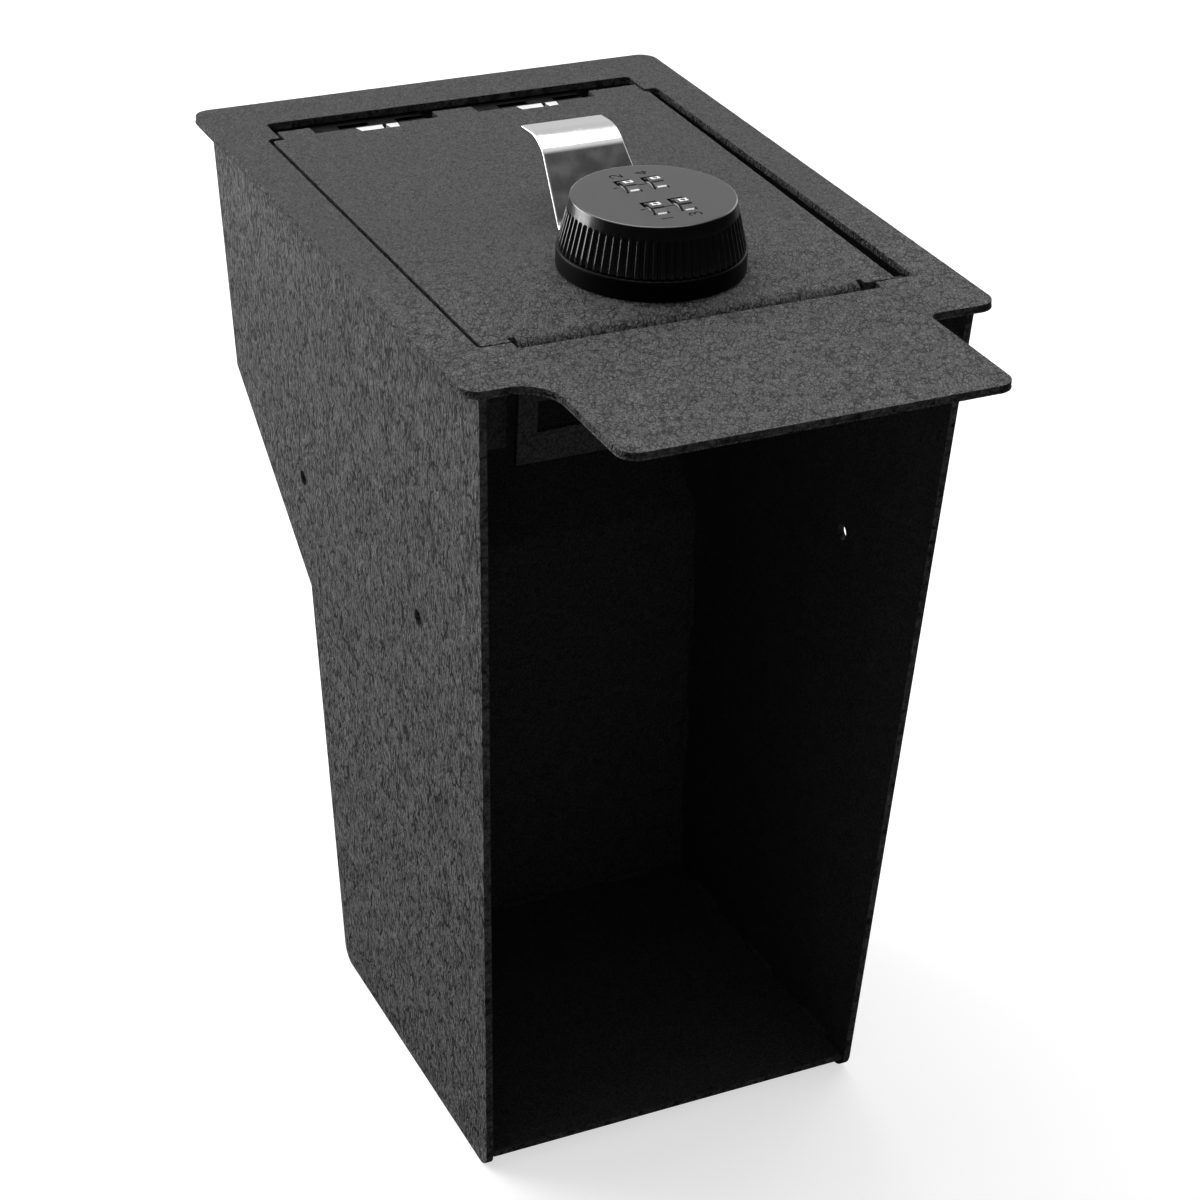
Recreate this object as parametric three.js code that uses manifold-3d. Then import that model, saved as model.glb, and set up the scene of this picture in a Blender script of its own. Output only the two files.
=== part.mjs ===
// Drop-in safe for a vehicle's centre console: a welded sheet-steel case with an open front, a hinged lid,
// a knob with four number wheels, and a locking bar that slides under the case's rim.
// Millimetres, +Z up. Shapes are drawn from the top plate's front left corner: X to the right, Y to the rear,
// Z up from the plate's top face. The finished group is moved to stand on the middle of its base.
import * as THREE from 'three';
import { mergeVertices } from 'three/addons/utils/BufferGeometryUtils.js';
import Module from 'manifold-3d';

const wasm = await Module();
wasm.setup();

// Clearances
const fit = 0.3; // between pieces that are welded, seated or run together
const through = 1; // how far a cut runs past the face that it opens
const arcSteps = 3;
const roundSteps = 32;
const smallRoundSteps = 16;

// Top plate
const plateWidth = 168;
const plateLength = 232;
const plateThickness = 2.4;
const plateCornerRadius = 6;
const tongueReach = 49;
const tongueInset = 23.8;
const tongueCornerRadius = 6;
const tongueRootLeftRadius = 12;
const tongueRootRightRadius = 3;

// Opening in the top plate
const openingLeftInset = 15;
const openingRightInset = 13.6;
const openingFrontInset = 26.4;
const openingRearInset = 19.6;
const openingCornerRadius = 1.5;
const hingeBayDepth = 13.5;
const hingeBayInset = 4.3;
const flangeSlotDepth = 4.2;
const flangeSlotLeftGap = 3.9;
const flangeSlotRightGap = 6.1;

// Case below the plate; each inset is taken from the plate's edge, each depth from its top face
const caseHeight = 287.1;
const wallThickness = 2.4;
const sideInsetTop = 5.7;
const sideInsetBottom = 17.5;
const frontInsetTop = 4.1;
const frontInsetBottom = 18.7;
const rearInsetTop = 3.9;
const rearInsetBottom = 87.3;
const slopeTopDepth = 87.6;
const slopeTopInset = 12.1;
const slopeBottomDepth = 141.4;
const slopeBottomInset = 75.6;
const wallCornerRadius = 6;
const floorRaise = 4.2;
const floorFrontSetback = 0.5;
const screwHoleRadius = 2.6;
const screwHoleDepth = 101.5;
const screwHoleFront = 58.1;
const screwHolePitch = 99.4;

// Lid
const lidThickness = 2.4;
const lidGapLeft = 1.3;
const lidGapRight = 4.1;
const lidGapFront = 0.6;
const lidFrontNarrowing = 1.8;
const lidCornerLeft = 7.8;
const lidCornerRight = 8.7;
const lidCornerRadius = 1.2;
const lidShoulderGap = 1.8;
const notchWidth = 3.2;
const notchDepth = 4.4;
const flangeBendRadius = 4;
const flangeSetback = 3.2;
const flangeLean = 1;
const flangeWindowMargin = 6.2;
const flangeWindowAbove = 2;
const flangeWindowBelow = 4.8;
const flangeBelowWindow = 9.6;

// Hinges
const hingeLength = 40;
const hingeRecessWidth = 43;
const hingeFromLidLeft = 36.7;
const hingeSpacing = 57;
const hingeRecessDepth = 6.6;
const hingeAxisFromRear = 6.5;
const hingeNotchWidth = 15;
const hingeNotchDepth = 3.2;
const hingeNotchTaper = 0.9;
const tabBehindAxis = -0.5;
const tabSideGap = 1.2;
const leafThickness = 1.5;
const leafWidth = 15;
const leafSetback = 3.4;
const knuckleRadius = 2.6;
const knuckleCount = 4;
const knuckleGap = 0.4;
const hingePinRadius = 1.3;

// Lid stops and strike
const stopThickness = 3;
const stopReach = 26.2;
const stopDrop = 34.5;
const stopBehindCorner = 3.4;
const strikeWidth = 59;
const strikeThickness = 2.5;
const strikeFoot = 14.8;
const strikeBehindSlot = 2;
const strikeWindowClearance = 3;
const strikeBelowWindow = 5;

// Finger pull
const pullTopWidth = 27.2;
const pullFootWidth = 32;
const pullThickness = 1.2;
const pullFootFront = 15;
const pullFootRear = 31.4;
const pullFootBend = 4;
const pullRiseReach = 21.5;
const pullHeight = 23;
const pullTopBend = 10.8;
const pullRear = 65;

// Combination knob
const knobFromLidLeft = 69.3;
const knobFromLidFront = 34.9;
const knobBaseRadius = 28.3;
const knobBaseWall = 2.3;
const knobBaseFloor = 1.5;
const knobBaseHeight = 6.5;
const knobSkirtRadius = 28;
const knobBandRadius = 25.2;
const knobTopRadius = 24.6;
const knobBandHeight = 3.4;
const knobTopBevel = 0.6;
const ribCount = 66;
const ribDepth = 0.8;
const ribTopShare = 0.45; // of a rib's pitch
const ribFlankShare = 0.15;
const wheelRadius = 8;
const wheelWidth = 4.4;
const wheelBulge = 1.2;
const wheelSteps = 20;
const wheelSideGap = 0.3;
const wheelEndGap = 0.45;
const wheelAboveDisc = 0.5;
const windowWidth = 6;
const rowWeb = 1;
const columnWeb = 2.8;
const axleRadius = 1.2;
const axleEnd = 3;

// Lock parts through and under the lid
const barrelRadius = 9.5;
const barrelHeadRadius = 13.5;
const barrelHeadHeight = 1.3;
const barrelTail = 5.2;
const spindleRadius = 4;
const spindleDiscRadius = 25;
const spindleDiscHeight = 1.3;
const washerRadius = 15;
const washerThickness = 1.2;
const nutAcrossFlats = 24;
const nutThickness = 6;
const camThickness = 2.5;
const camHubRadius = 8;
const camPinRadius = 2.5;
const camPinOffset = 9;
const camHalfTurn = Math.PI / 4;
const camTipMargin = 2;
const camScrewHeadRadius = 5;
const camScrewHeadHeight = 1.8;
const camScrewRadius = 1.5;
const camScrewLength = 9;
const barGap = 1.1;

// Locking bar and its guides
const barWidth = 43.4;
const barThickness = 3;
const barTipBehindFlange = 2.5;
const barBehindKnob = 18.5;
const barCornerRadius = 2;
const barSlotEndPlay = 0.6;
const barSlotSidePlay = 0.7;
const guideSheet = 2;
const guideLip = 3.8;
const guideFoot = 11.6;
const guideFrontGap = 2;
const guideRearFromKnob = 13.5;

// Places worked out from the sizes above
const openingLeft = openingLeftInset;
const openingRight = plateWidth - openingRightInset;
const openingRear = plateLength - openingRearInset;
const bayFront = openingRear - hingeBayDepth;
const hingeAxisY = openingRear - hingeAxisFromRear;
const hingeAxisZ = -lidThickness - fit - knuckleRadius;
const lidLeft = openingLeft + lidGapLeft;
const lidRightRear = openingRight - lidGapRight;
const lidRightFront = lidRightRear - lidFrontNarrowing;
const lidFront = openingFrontInset + lidGapFront;
const lidShoulder = bayFront - lidShoulderGap;
const tabRear = hingeAxisY + tabBehindAxis;
const recessFront = tabRear - hingeRecessDepth;
const bayLeft = openingLeft + hingeBayInset;
const bayRight = openingRight - hingeBayInset;
const flangeLeft = lidLeft + lidCornerLeft + notchWidth;
const flangeRight = lidRightFront - lidCornerRight - notchWidth;
const slotFront = openingFrontInset - flangeSlotDepth;
const flangeFace = slotFront + flangeSetback;
const hingeCentres = [lidLeft + hingeFromLidLeft, lidLeft + hingeFromLidLeft + hingeSpacing];
const knobX = lidLeft + knobFromLidLeft;
const knobY = lidFront + knobFromLidFront;

// Heights above the lid, from the finger pull's foot up
const baseFloorZ = pullThickness + 2 * fit;
const barrelHeadZ = baseFloorZ + knobBaseFloor + fit;
const spindleDiscZ = barrelHeadZ + barrelHeadHeight + fit;
const spindleDiscTopZ = spindleDiscZ + spindleDiscHeight;
const knobZ = Math.max(knobBaseHeight, spindleDiscTopZ) + fit;
const wheelZ = spindleDiscTopZ + wheelAboveDisc + wheelRadius;
const knobTopZ = wheelZ + wheelRadius - wheelBulge;
const skirtTopZ = knobTopZ - knobBandHeight;
const pocketRadius = wheelRadius + wheelEndGap;
const axleReach = windowWidth / 2 + axleEnd;
const columns = [-1, 1].map((side) => knobX + side * (columnWeb + windowWidth) / 2);
const rows = { rear: knobY + pocketRadius + rowWeb / 2, front: knobY - pocketRadius - rowWeb / 2 };

// Height at which the finger pull's flared rise reaches its full bend
const pullTopBendZ = pullHeight - pullThickness - pullTopBend * (1 - Math.cos(Math.PI / 4));

// Heights under the lid, from the washer down
const washerZ = -lidThickness - fit - washerThickness;
const nutZ = washerZ - fit - nutThickness;
const barrelEndZ = nutZ - barrelTail;
const camZ = barrelEndZ - fit - camThickness;
const camScrewZ = camZ - fit - camScrewHeadHeight;
const barTopZ = camScrewZ - barGap;
const barBottomZ = barTopZ - barThickness;
const flangeWindowTopZ = barTopZ + flangeWindowAbove;
const flangeWindowBottomZ = barBottomZ - flangeWindowBelow;
const flangeBottomZ = flangeWindowBottomZ - flangeBelowWindow;

// The locking bar's travel and the drive pin's place at rest, half a stroke behind the knob's axis
const halfStroke = camPinOffset * Math.sin(camHalfTurn);
const pinRestX = knobX + camPinOffset * Math.cos(camHalfTurn);
const pinRestY = knobY + halfStroke;
const barTip = flangeFace + barTipBehindFlange;

// Closed outline from corners [x, y] or [x, y, radius], given anticlockwise
function outline(corners) {
  const shape = new THREE.Shape();
  const at = (i) => new THREE.Vector2(...corners[(i + corners.length) % corners.length].slice(0, 2));
  corners.forEach(([x, y, radius = 0], i) => {
    const here = at(i);
    const back = at(i - 1).sub(here).normalize();
    const on = at(i + 1).sub(here).normalize();
    const half = Math.acos(THREE.MathUtils.clamp(back.dot(on), -1, 1)) / 2;
    const reach = radius / Math.tan(half);
    const start = here.clone().addScaledVector(back, reach);
    const end = here.clone().addScaledVector(on, reach);
    if (i === 0) shape.moveTo(start.x, start.y);
    else shape.lineTo(start.x, start.y);
    if (radius === 0) return;
    const centre = here.clone().addScaledVector(back.clone().add(on).normalize(), radius / Math.sin(half));
    const from = Math.atan2(start.y - centre.y, start.x - centre.x);
    const to = Math.atan2(end.y - centre.y, end.x - centre.x);
    shape.absarc(centre.x, centre.y, radius, from, to, back.cross(on) > 0);
  });
  shape.closePath();
  return shape;
}

function circle(x, y, radius, steps = roundSteps) {
  const turn = (i) => (2 * Math.PI * i) / steps;
  const points = Array.from({ length: steps }, (_, i) => new THREE.Vector2(
    x + radius * Math.cos(turn(i)),
    y + radius * Math.sin(turn(i)),
  ));
  return new THREE.Shape(points);
}

function rectangle(left, front, right, rear, radius = 0) {
  return outline([[left, front, radius], [right, front, radius], [right, rear, radius], [left, rear, radius]]);
}

// A flat plate: an outline in X and Y between two heights
function plateSolid(shape, low, high) {
  const depth = high - low;
  const geometry = new THREE.ExtrudeGeometry(shape, { depth, bevelEnabled: false, curveSegments: arcSteps });
  return geometry.translate(0, 0, low);
}

// An outline in Y and Z carried along X; each end may lean with height
function acrossSolid(shape, left, right) {
  const geometry = new THREE.ExtrudeGeometry(shape, { depth: 1, bevelEnabled: false, curveSegments: arcSteps });
  const place = geometry.attributes.position;
  for (let i = 0; i < place.count; i += 1) {
    const [y, z, along] = [place.getX(i), place.getY(i), place.getZ(i)];
    place.setXYZ(i, THREE.MathUtils.lerp(left(z), right(z), along), y, z);
  }
  return geometry;
}

// An outline in X and Z carried along Y
function lengthwaysSolid(shape, front, rear) {
  const geometry = new THREE.ExtrudeGeometry(shape, { depth: rear - front, bevelEnabled: false });
  return geometry.rotateX(Math.PI / 2).translate(0, rear, 0);
}

// A block between two corners
function block(low, high) {
  const size = high.map((value, i) => value - low[i]);
  const geometry = new THREE.BoxGeometry(...size);
  return geometry.translate(...low.map((value, i) => value + size[i] / 2));
}

// A round bar along X
function roundAlongX(radius, left, right, y, z, steps = smallRoundSteps) {
  const geometry = new THREE.CylinderGeometry(radius, radius, right - left, steps);
  return geometry.rotateZ(Math.PI / 2).translate((left + right) / 2, y, z);
}

// A turned piece on the knob's axis, from [radius, height] points
function turned(profile, steps = roundSteps) {
  const points = profile.map(([radius, height]) => new THREE.Vector2(radius, height));
  return new THREE.LatheGeometry([...points, points[0].clone()], steps).rotateX(Math.PI / 2).translate(knobX, knobY, 0);
}

function toSolid(geometry) {
  const bare = geometry.clone();
  bare.deleteAttribute('normal');
  bare.deleteAttribute('uv');
  const merged = mergeVertices(bare, 1e-4);
  const vertProperties = new Float32Array(merged.attributes.position.array);
  const triVerts = new Uint32Array(merged.index.array);
  return new wasm.Manifold(new wasm.Mesh({ numProp: 3, vertProperties, triVerts }));
}

function toGeometry(solid) {
  const mesh = solid.getMesh();
  const geometry = new THREE.BufferGeometry();
  geometry.setAttribute('position', new THREE.BufferAttribute(new Float32Array(mesh.vertProperties), 3));
  geometry.setIndex(new THREE.BufferAttribute(new Uint32Array(mesh.triVerts), 1));
  geometry.computeVertexNormals();
  return geometry;
}

function carve(added, removed = []) {
  let solid = toSolid(added[0]);
  for (const piece of added.slice(1)) solid = solid.add(toSolid(piece));
  for (const piece of removed) solid = solid.subtract(toSolid(piece));
  return toGeometry(solid);
}

const powderCoat = new THREE.MeshStandardMaterial({ color: 0x2b2b2b, roughness: 0.8, metalness: 0.1 });
const blackPlastic = new THREE.MeshStandardMaterial({ color: 0x141414, roughness: 0.45, metalness: 0 });
const brightPlate = new THREE.MeshStandardMaterial({ color: 0xd9dadc, roughness: 0.12, metalness: 1 });
const zincPlate = new THREE.MeshStandardMaterial({ color: 0xb4b7ba, roughness: 0.35, metalness: 1 });

const safe = new THREE.Group();

function add(name, geometry, material) {
  const mesh = new THREE.Mesh(geometry, material);
  mesh.name = name;
  safe.add(mesh);
}

// Outer faces of the side walls lean in with depth, the same on both sides
function leanIn(z) {
  return THREE.MathUtils.lerp(sideInsetTop, sideInsetBottom, -z / caseHeight);
}

// Top plate: one sheet with a tongue over the open front and a stepped opening for the lid
function topPlate() {
  const shape = outline([
    [0, 0, plateCornerRadius],
    [tongueInset, 0, tongueRootLeftRadius],
    [tongueInset, -tongueReach, tongueCornerRadius],
    [plateWidth - tongueInset, -tongueReach, tongueCornerRadius],
    [plateWidth - tongueInset, 0, tongueRootRightRadius],
    [plateWidth, 0, plateCornerRadius],
    [plateWidth, plateLength, plateCornerRadius],
    [0, plateLength, plateCornerRadius],
  ]);
  shape.holes.push(outline([
    [openingLeft, openingFrontInset, openingCornerRadius],
    [flangeLeft - flangeSlotLeftGap, openingFrontInset],
    [flangeLeft - flangeSlotLeftGap, slotFront, openingCornerRadius],
    [flangeRight + flangeSlotRightGap, slotFront, openingCornerRadius],
    [flangeRight + flangeSlotRightGap, openingFrontInset],
    [openingRight, openingFrontInset, openingCornerRadius],
    [openingRight, bayFront, openingCornerRadius],
    [bayRight, bayFront],
    [bayRight, openingRear, openingCornerRadius],
    [bayLeft, openingRear, openingCornerRadius],
    [bayLeft, bayFront],
    [openingLeft, bayFront, openingCornerRadius],
  ]));
  return plateSolid(shape, -plateThickness, 0);
}

// Rear profile of the case: down, forward under the slope, and down again; grown inwards by a setback
function rearProfile(setback) {
  const top = [plateLength - rearInsetTop, 0];
  const slopeTop = [plateLength - slopeTopInset, -slopeTopDepth];
  const slopeBottom = [plateLength - slopeBottomInset, -slopeBottomDepth];
  const bottom = [plateLength - rearInsetBottom, -caseHeight];
  const lines = [[top, slopeTop], [slopeTop, slopeBottom], [slopeBottom, bottom]].map(([a, b]) => {
    const along = new THREE.Vector2(b[0] - a[0], b[1] - a[1]).normalize();
    const inward = new THREE.Vector2(along.y, -along.x);
    return { from: new THREE.Vector2(...a).addScaledVector(inward, setback), along };
  });
  const atHeight = (line, z) => [line.from.x + line.along.x * ((z - line.from.y) / line.along.y), z];
  const meet = (p, q) => {
    const gap = q.from.clone().sub(p.from);
    return p.from.clone().addScaledVector(p.along, gap.cross(q.along) / p.along.cross(q.along)).toArray();
  };
  return {
    bends: [meet(lines[0], lines[1]), meet(lines[1], lines[2])],
    topAt: (z) => atHeight(lines[0], z),
    bottomAt: (z) => atHeight(lines[2], z),
  };
}

function frontEdge(z) {
  return THREE.MathUtils.lerp(frontInsetTop, frontInsetBottom, -z / caseHeight);
}

const caseTopZ = -plateThickness - fit;

// Side walls: flat leaning sheets with two screw holes each
function sideWall(side) {
  const rear = rearProfile(0);
  const shape = outline([
    [frontEdge(caseTopZ), caseTopZ],
    [frontEdge(-caseHeight), -caseHeight, wallCornerRadius],
    [...rear.bottomAt(-caseHeight), wallCornerRadius],
    rear.bends[1],
    rear.bends[0],
    rear.topAt(caseTopZ),
  ]);
  for (const y of [screwHoleFront, screwHoleFront + screwHolePitch]) {
    shape.holes.push(circle(y, -screwHoleDepth, screwHoleRadius, smallRoundSteps));
  }
  if (side === 'left') return acrossSolid(shape, leanIn, (z) => leanIn(z) + wallThickness);
  return acrossSolid(shape, (z) => plateWidth - leanIn(z) - wallThickness, (z) => plateWidth - leanIn(z));
}

// Back wall: one sheet bent twice, between the side walls
function backWall() {
  const outer = rearProfile(0);
  const inner = rearProfile(wallThickness);
  const bottomZ = -caseHeight + floorRaise;
  const shape = outline([
    inner.topAt(caseTopZ),
    ...inner.bends,
    inner.bottomAt(bottomZ),
    outer.bottomAt(bottomZ),
    outer.bends[1],
    outer.bends[0],
    outer.topAt(caseTopZ),
  ]);
  const inset = wallThickness + fit;
  return acrossSolid(shape, (z) => leanIn(z) + inset, (z) => plateWidth - leanIn(z) - inset);
}

// Floor: raised a little from the walls' lower edges, between the walls
function floorPlate() {
  const low = -caseHeight + floorRaise;
  const high = low + wallThickness;
  const inner = rearProfile(wallThickness + fit);
  const shape = outline([
    [frontEdge(low) + floorFrontSetback, low],
    inner.bottomAt(low),
    inner.bottomAt(high),
    [frontEdge(low) + floorFrontSetback, high],
  ]);
  const inset = wallThickness + fit;
  return acrossSolid(shape, (z) => leanIn(z) + inset, (z) => plateWidth - leanIn(z) - inset);
}

// Lid stops: gussets in the front corners, under the flat ends of the lid's front edge
function lidStop(side) {
  const top = caseTopZ;
  const corners = [
    [leanIn(top) + wallThickness + fit, top],
    [leanIn(-stopDrop) + wallThickness + fit, -stopDrop],
    [stopReach, -stopDrop],
    [stopReach, top],
  ];
  const shape = side === 'left'
    ? outline(corners)
    : outline(corners.map(([x, z]) => [plateWidth - x, z]).reverse());
  const front = lidFront + stopBehindCorner;
  return lengthwaysSolid(shape, front, front + stopThickness);
}

// Strike: an angle under the rim, with a window that takes the locking bar
function strike() {
  const rear = slotFront - strikeBehindSlot;
  const front = rear - strikeThickness;
  const windowTop = barTopZ + strikeWindowClearance;
  const windowBottom = barBottomZ - strikeWindowClearance;
  const bottom = windowBottom - strikeBelowWindow;
  const shape = outline([
    [rear - strikeFoot, caseTopZ],
    [rear - strikeFoot, caseTopZ - strikeThickness],
    [front, caseTopZ - strikeThickness],
    [front, bottom],
    [rear, bottom],
    [rear, caseTopZ],
  ]);
  const half = strikeWidth / 2;
  const windowHalf = barWidth / 2 + strikeWindowClearance;
  return carve(
    [acrossSolid(shape, () => knobX - half, () => knobX + half)],
    [block([knobX - windowHalf, front - through, windowBottom], [knobX + windowHalf, rear + through, windowTop])],
  );
}

// Lid: a sheet with three rear tabs, two hinge recesses and a front flange with the locking bar's window
function lid() {
  const tabLeft = bayLeft + tabSideGap;
  const tabRight = bayRight - tabSideGap;
  const half = hingeRecessWidth / 2;
  const recesses = [...hingeCentres].reverse().flatMap((x) => [
    [x + half, tabRear],
    [x + half, recessFront],
    [x + hingeNotchWidth / 2, recessFront],
    [x + hingeNotchWidth / 2 - hingeNotchTaper, recessFront - hingeNotchDepth],
    [x - hingeNotchWidth / 2 + hingeNotchTaper, recessFront - hingeNotchDepth],
    [x - hingeNotchWidth / 2, recessFront],
    [x - half, recessFront],
    [x - half, tabRear],
  ]);
  const bendStart = flangeFace + flangeBendRadius;
  const flat = outline([
    [lidLeft, lidFront, lidCornerRadius],
    [lidLeft + lidCornerLeft, lidFront],
    [lidLeft + lidCornerLeft, lidFront + notchDepth],
    [flangeLeft, lidFront + notchDepth],
    [flangeLeft, bendStart],
    [flangeRight, bendStart],
    [flangeRight, lidFront + notchDepth],
    [lidRightFront - lidCornerRight, lidFront + notchDepth],
    [lidRightFront - lidCornerRight, lidFront],
    [lidRightFront, lidFront, lidCornerRadius],
    [lidRightRear, lidShoulder, lidCornerRadius],
    [tabRight, lidShoulder],
    [tabRight, tabRear],
    ...recesses,
    [tabLeft, tabRear],
    [tabLeft, lidShoulder],
    [lidLeft, lidShoulder, lidCornerRadius],
  ]);
  flat.holes.push(circle(knobX, knobY, barrelRadius + fit));
  const overlap = bendStart + (lidFront + notchDepth - bendStart) / 2;
  const innerRadius = flangeBendRadius - lidThickness;
  const bend = new THREE.Shape();
  bend.moveTo(overlap, 0);
  bend.lineTo(bendStart, 0);
  bend.absarc(bendStart, -flangeBendRadius, flangeBendRadius, Math.PI / 2, Math.PI, false);
  bend.lineTo(flangeFace + flangeLean, flangeBottomZ);
  bend.lineTo(flangeFace + flangeLean + lidThickness, flangeBottomZ);
  bend.lineTo(flangeFace + lidThickness, -flangeBendRadius);
  bend.absarc(bendStart, -flangeBendRadius, innerRadius, Math.PI, Math.PI / 2, true);
  bend.lineTo(overlap, -lidThickness);
  bend.closePath();
  const window = block(
    [flangeLeft + flangeWindowMargin, flangeFace - through, flangeWindowBottomZ],
    [flangeRight - flangeWindowMargin, flangeFace + flangeLean + lidThickness + through, flangeWindowTopZ],
  );
  return carve(
    [plateSolid(flat, -lidThickness, 0), acrossSolid(bend, () => flangeLeft, () => flangeRight)],
    [window],
  );
}

// One hinge leaf: a flat strip under the sheet, with the knuckles whose turn it is
function hingeLeaf(centre, toward, firstKnuckle) {
  const left = centre - hingeLength / 2;
  const pitch = (hingeLength + knuckleGap) / knuckleCount;
  const topZ = -lidThickness - fit;
  const near = hingeAxisY + toward * leafSetback;
  const far = near + toward * leafWidth;
  const strip = (y1, y2, x1, x2) => block(
    [x1, Math.min(y1, y2), topZ - leafThickness],
    [x2, Math.max(y1, y2), topZ],
  );
  const pieces = [strip(near, far, left, left + hingeLength)];
  for (let i = firstKnuckle; i < knuckleCount; i += 2) {
    const x = left + i * pitch;
    pieces.push(strip(hingeAxisY, near + toward * through, x, x + pitch - knuckleGap));
    pieces.push(roundAlongX(knuckleRadius, x, x + pitch - knuckleGap, hingeAxisY, hingeAxisZ));
  }
  const right = left + hingeLength;
  const bore = roundAlongX(hingePinRadius + fit, left - through, right + through, hingeAxisY, hingeAxisZ);
  return carve(pieces, [bore]);
}

// Finger pull: a bright strip clamped under the lock, rising behind the knob and curling to the rear
function fingerPull() {
  const low = fit;
  const high = fit + pullThickness;
  const footRear = knobY + pullFootRear;
  const riseRear = footRear + pullRiseReach;
  const mitre = pullThickness * Math.tan(Math.atan2(pullHeight - high, pullRiseReach) / 2);
  const shape = outline([
    [knobY - pullFootFront, low],
    [footRear, low, pullFootBend + pullThickness],
    [riseRear, pullHeight - pullThickness, pullTopBend],
    [knobY + pullRear, pullHeight - pullThickness],
    [knobY + pullRear, pullHeight],
    [riseRear - mitre, pullHeight, pullTopBend + pullThickness],
    [footRear - mitre, high, pullFootBend],
    [knobY - pullFootFront, high],
  ]);
  const half = (z) => THREE.MathUtils.lerp(pullFootWidth, pullTopWidth, Math.min(1, z / pullTopBendZ)) / 2;
  const hole = plateSolid(circle(knobX, knobY, barrelRadius + fit), low - through, high + through);
  return carve([acrossSolid(shape, (z) => knobX - half(z), (z) => knobX + half(z))], [hole]);
}

// Knob base: a ring on the lid with a slot at the rear for the finger pull's foot
function knobBase() {
  const inner = knobBaseRadius - knobBaseWall;
  const ring = turned([
    [barrelRadius + fit, baseFloorZ],
    [inner, baseFloorZ],
    [inner, fit],
    [knobBaseRadius, fit],
    [knobBaseRadius, knobBaseHeight],
    [inner, knobBaseHeight],
    [inner, baseFloorZ + knobBaseFloor],
    [barrelRadius + fit, baseFloorZ + knobBaseFloor],
  ]);
  const half = pullFootWidth / 2 + fit;
  const slot = block([knobX - half, knobY, 0], [knobX + half, knobY + knobBaseRadius + through, baseFloorZ]);
  return carve([ring], [slot]);
}

// Knob: ribbed skirt, smooth band and flat top, with a pocket for each number wheel that opens the window above it
function knob() {
  const pitch = (2 * Math.PI) / ribCount;
  const root = 1 - ribDepth / knobSkirtRadius;
  const ribPoints = [[0, 1], [ribTopShare, 1], [ribTopShare + ribFlankShare, root], [1 - ribFlankShare, root]];
  const skirt = new THREE.Shape(Array.from({ length: ribCount }, (_, i) => ribPoints.map(([share, radius]) => {
    const angle = (i + share) * pitch;
    return new THREE.Vector2(radius * Math.cos(angle), radius * Math.sin(angle));
  })).flat());
  const skirtHeight = skirtTopZ - knobZ;
  const ribs = new THREE.ExtrudeGeometry(skirt, { depth: skirtHeight, bevelEnabled: false });
  const place = ribs.attributes.position;
  for (let i = 0; i < place.count; i += 1) {
    const up = place.getZ(i);
    const radius = THREE.MathUtils.lerp(knobSkirtRadius, knobBandRadius, up / skirtHeight);
    place.setXYZ(i, knobX + place.getX(i) * radius, knobY + place.getY(i) * radius, knobZ + up);
  }
  const band = turned([
    [0, skirtTopZ - through],
    [knobBandRadius - ribDepth, skirtTopZ - through],
    [knobBandRadius, skirtTopZ],
    [knobTopRadius, knobTopZ - knobTopBevel],
    [knobTopRadius - knobTopBevel, knobTopZ],
    [0, knobTopZ],
  ], 2 * roundSteps);
  const cuts = [];
  for (const y of Object.values(rows)) {
    for (const x of columns) {
      const half = windowWidth / 2;
      cuts.push(block([x - half, y - pocketRadius, knobZ - through], [x + half, y + pocketRadius, wheelZ]));
      cuts.push(roundAlongX(pocketRadius, x - half, x + half, y, wheelZ, 2 * wheelSteps));
    }
    const end = axleReach + fit;
    cuts.push(roundAlongX(axleRadius + fit, columns[0] - end, columns[1] + end, y, wheelZ));
  }
  return carve([ribs, band], cuts);
}

// Number wheel: sits at the right of its window, so its side face shows at the left
function numberWheel(x, y) {
  const right = x + windowWidth / 2 - wheelSideGap;
  return carve(
    [roundAlongX(wheelRadius, right - wheelWidth, right, y, wheelZ, wheelSteps)],
    [roundAlongX(axleRadius + fit, right - wheelWidth - through, right + through, y, wheelZ)],
  );
}

function wheelAxle(y) {
  return roundAlongX(axleRadius, columns[0] - axleReach, columns[1] + axleReach, y, wheelZ);
}

// Lock barrel: holds the base and the pull's foot down on the lid
function lockBarrel() {
  return turned([
    [spindleRadius + fit, barrelEndZ],
    [barrelRadius, barrelEndZ],
    [barrelRadius, barrelHeadZ],
    [barrelHeadRadius, barrelHeadZ],
    [barrelHeadRadius, barrelHeadZ + barrelHeadHeight],
    [spindleRadius + fit, barrelHeadZ + barrelHeadHeight],
  ]);
}

function lockWasher() {
  const shape = circle(knobX, knobY, washerRadius);
  shape.holes.push(circle(knobX, knobY, barrelRadius + fit));
  return plateSolid(shape, washerZ, washerZ + washerThickness);
}

function lockNut() {
  const corner = nutAcrossFlats / Math.sqrt(3);
  const turn = (i) => (i * Math.PI) / 3;
  const hexagon = Array.from({ length: 6 }, (_, i) => [
    knobX + corner * Math.cos(turn(i)),
    knobY + corner * Math.sin(turn(i)),
  ]);
  const shape = outline(hexagon);
  shape.holes.push(circle(knobX, knobY, barrelRadius + fit));
  return plateSolid(shape, nutZ, nutZ + nutThickness);
}

// Spindle: a disc that carries the knob, on a shaft through the barrel, tapped at its lower end
function spindle() {
  const tap = camScrewRadius + fit;
  return turned([
    [0, camZ + camScrewLength],
    [tap, camZ + camScrewLength],
    [tap, camZ],
    [spindleRadius, camZ],
    [spindleRadius, spindleDiscZ],
    [spindleDiscRadius, spindleDiscZ],
    [spindleDiscRadius, spindleDiscTopZ],
    [0, spindleDiscTopZ],
  ]);
}

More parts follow.
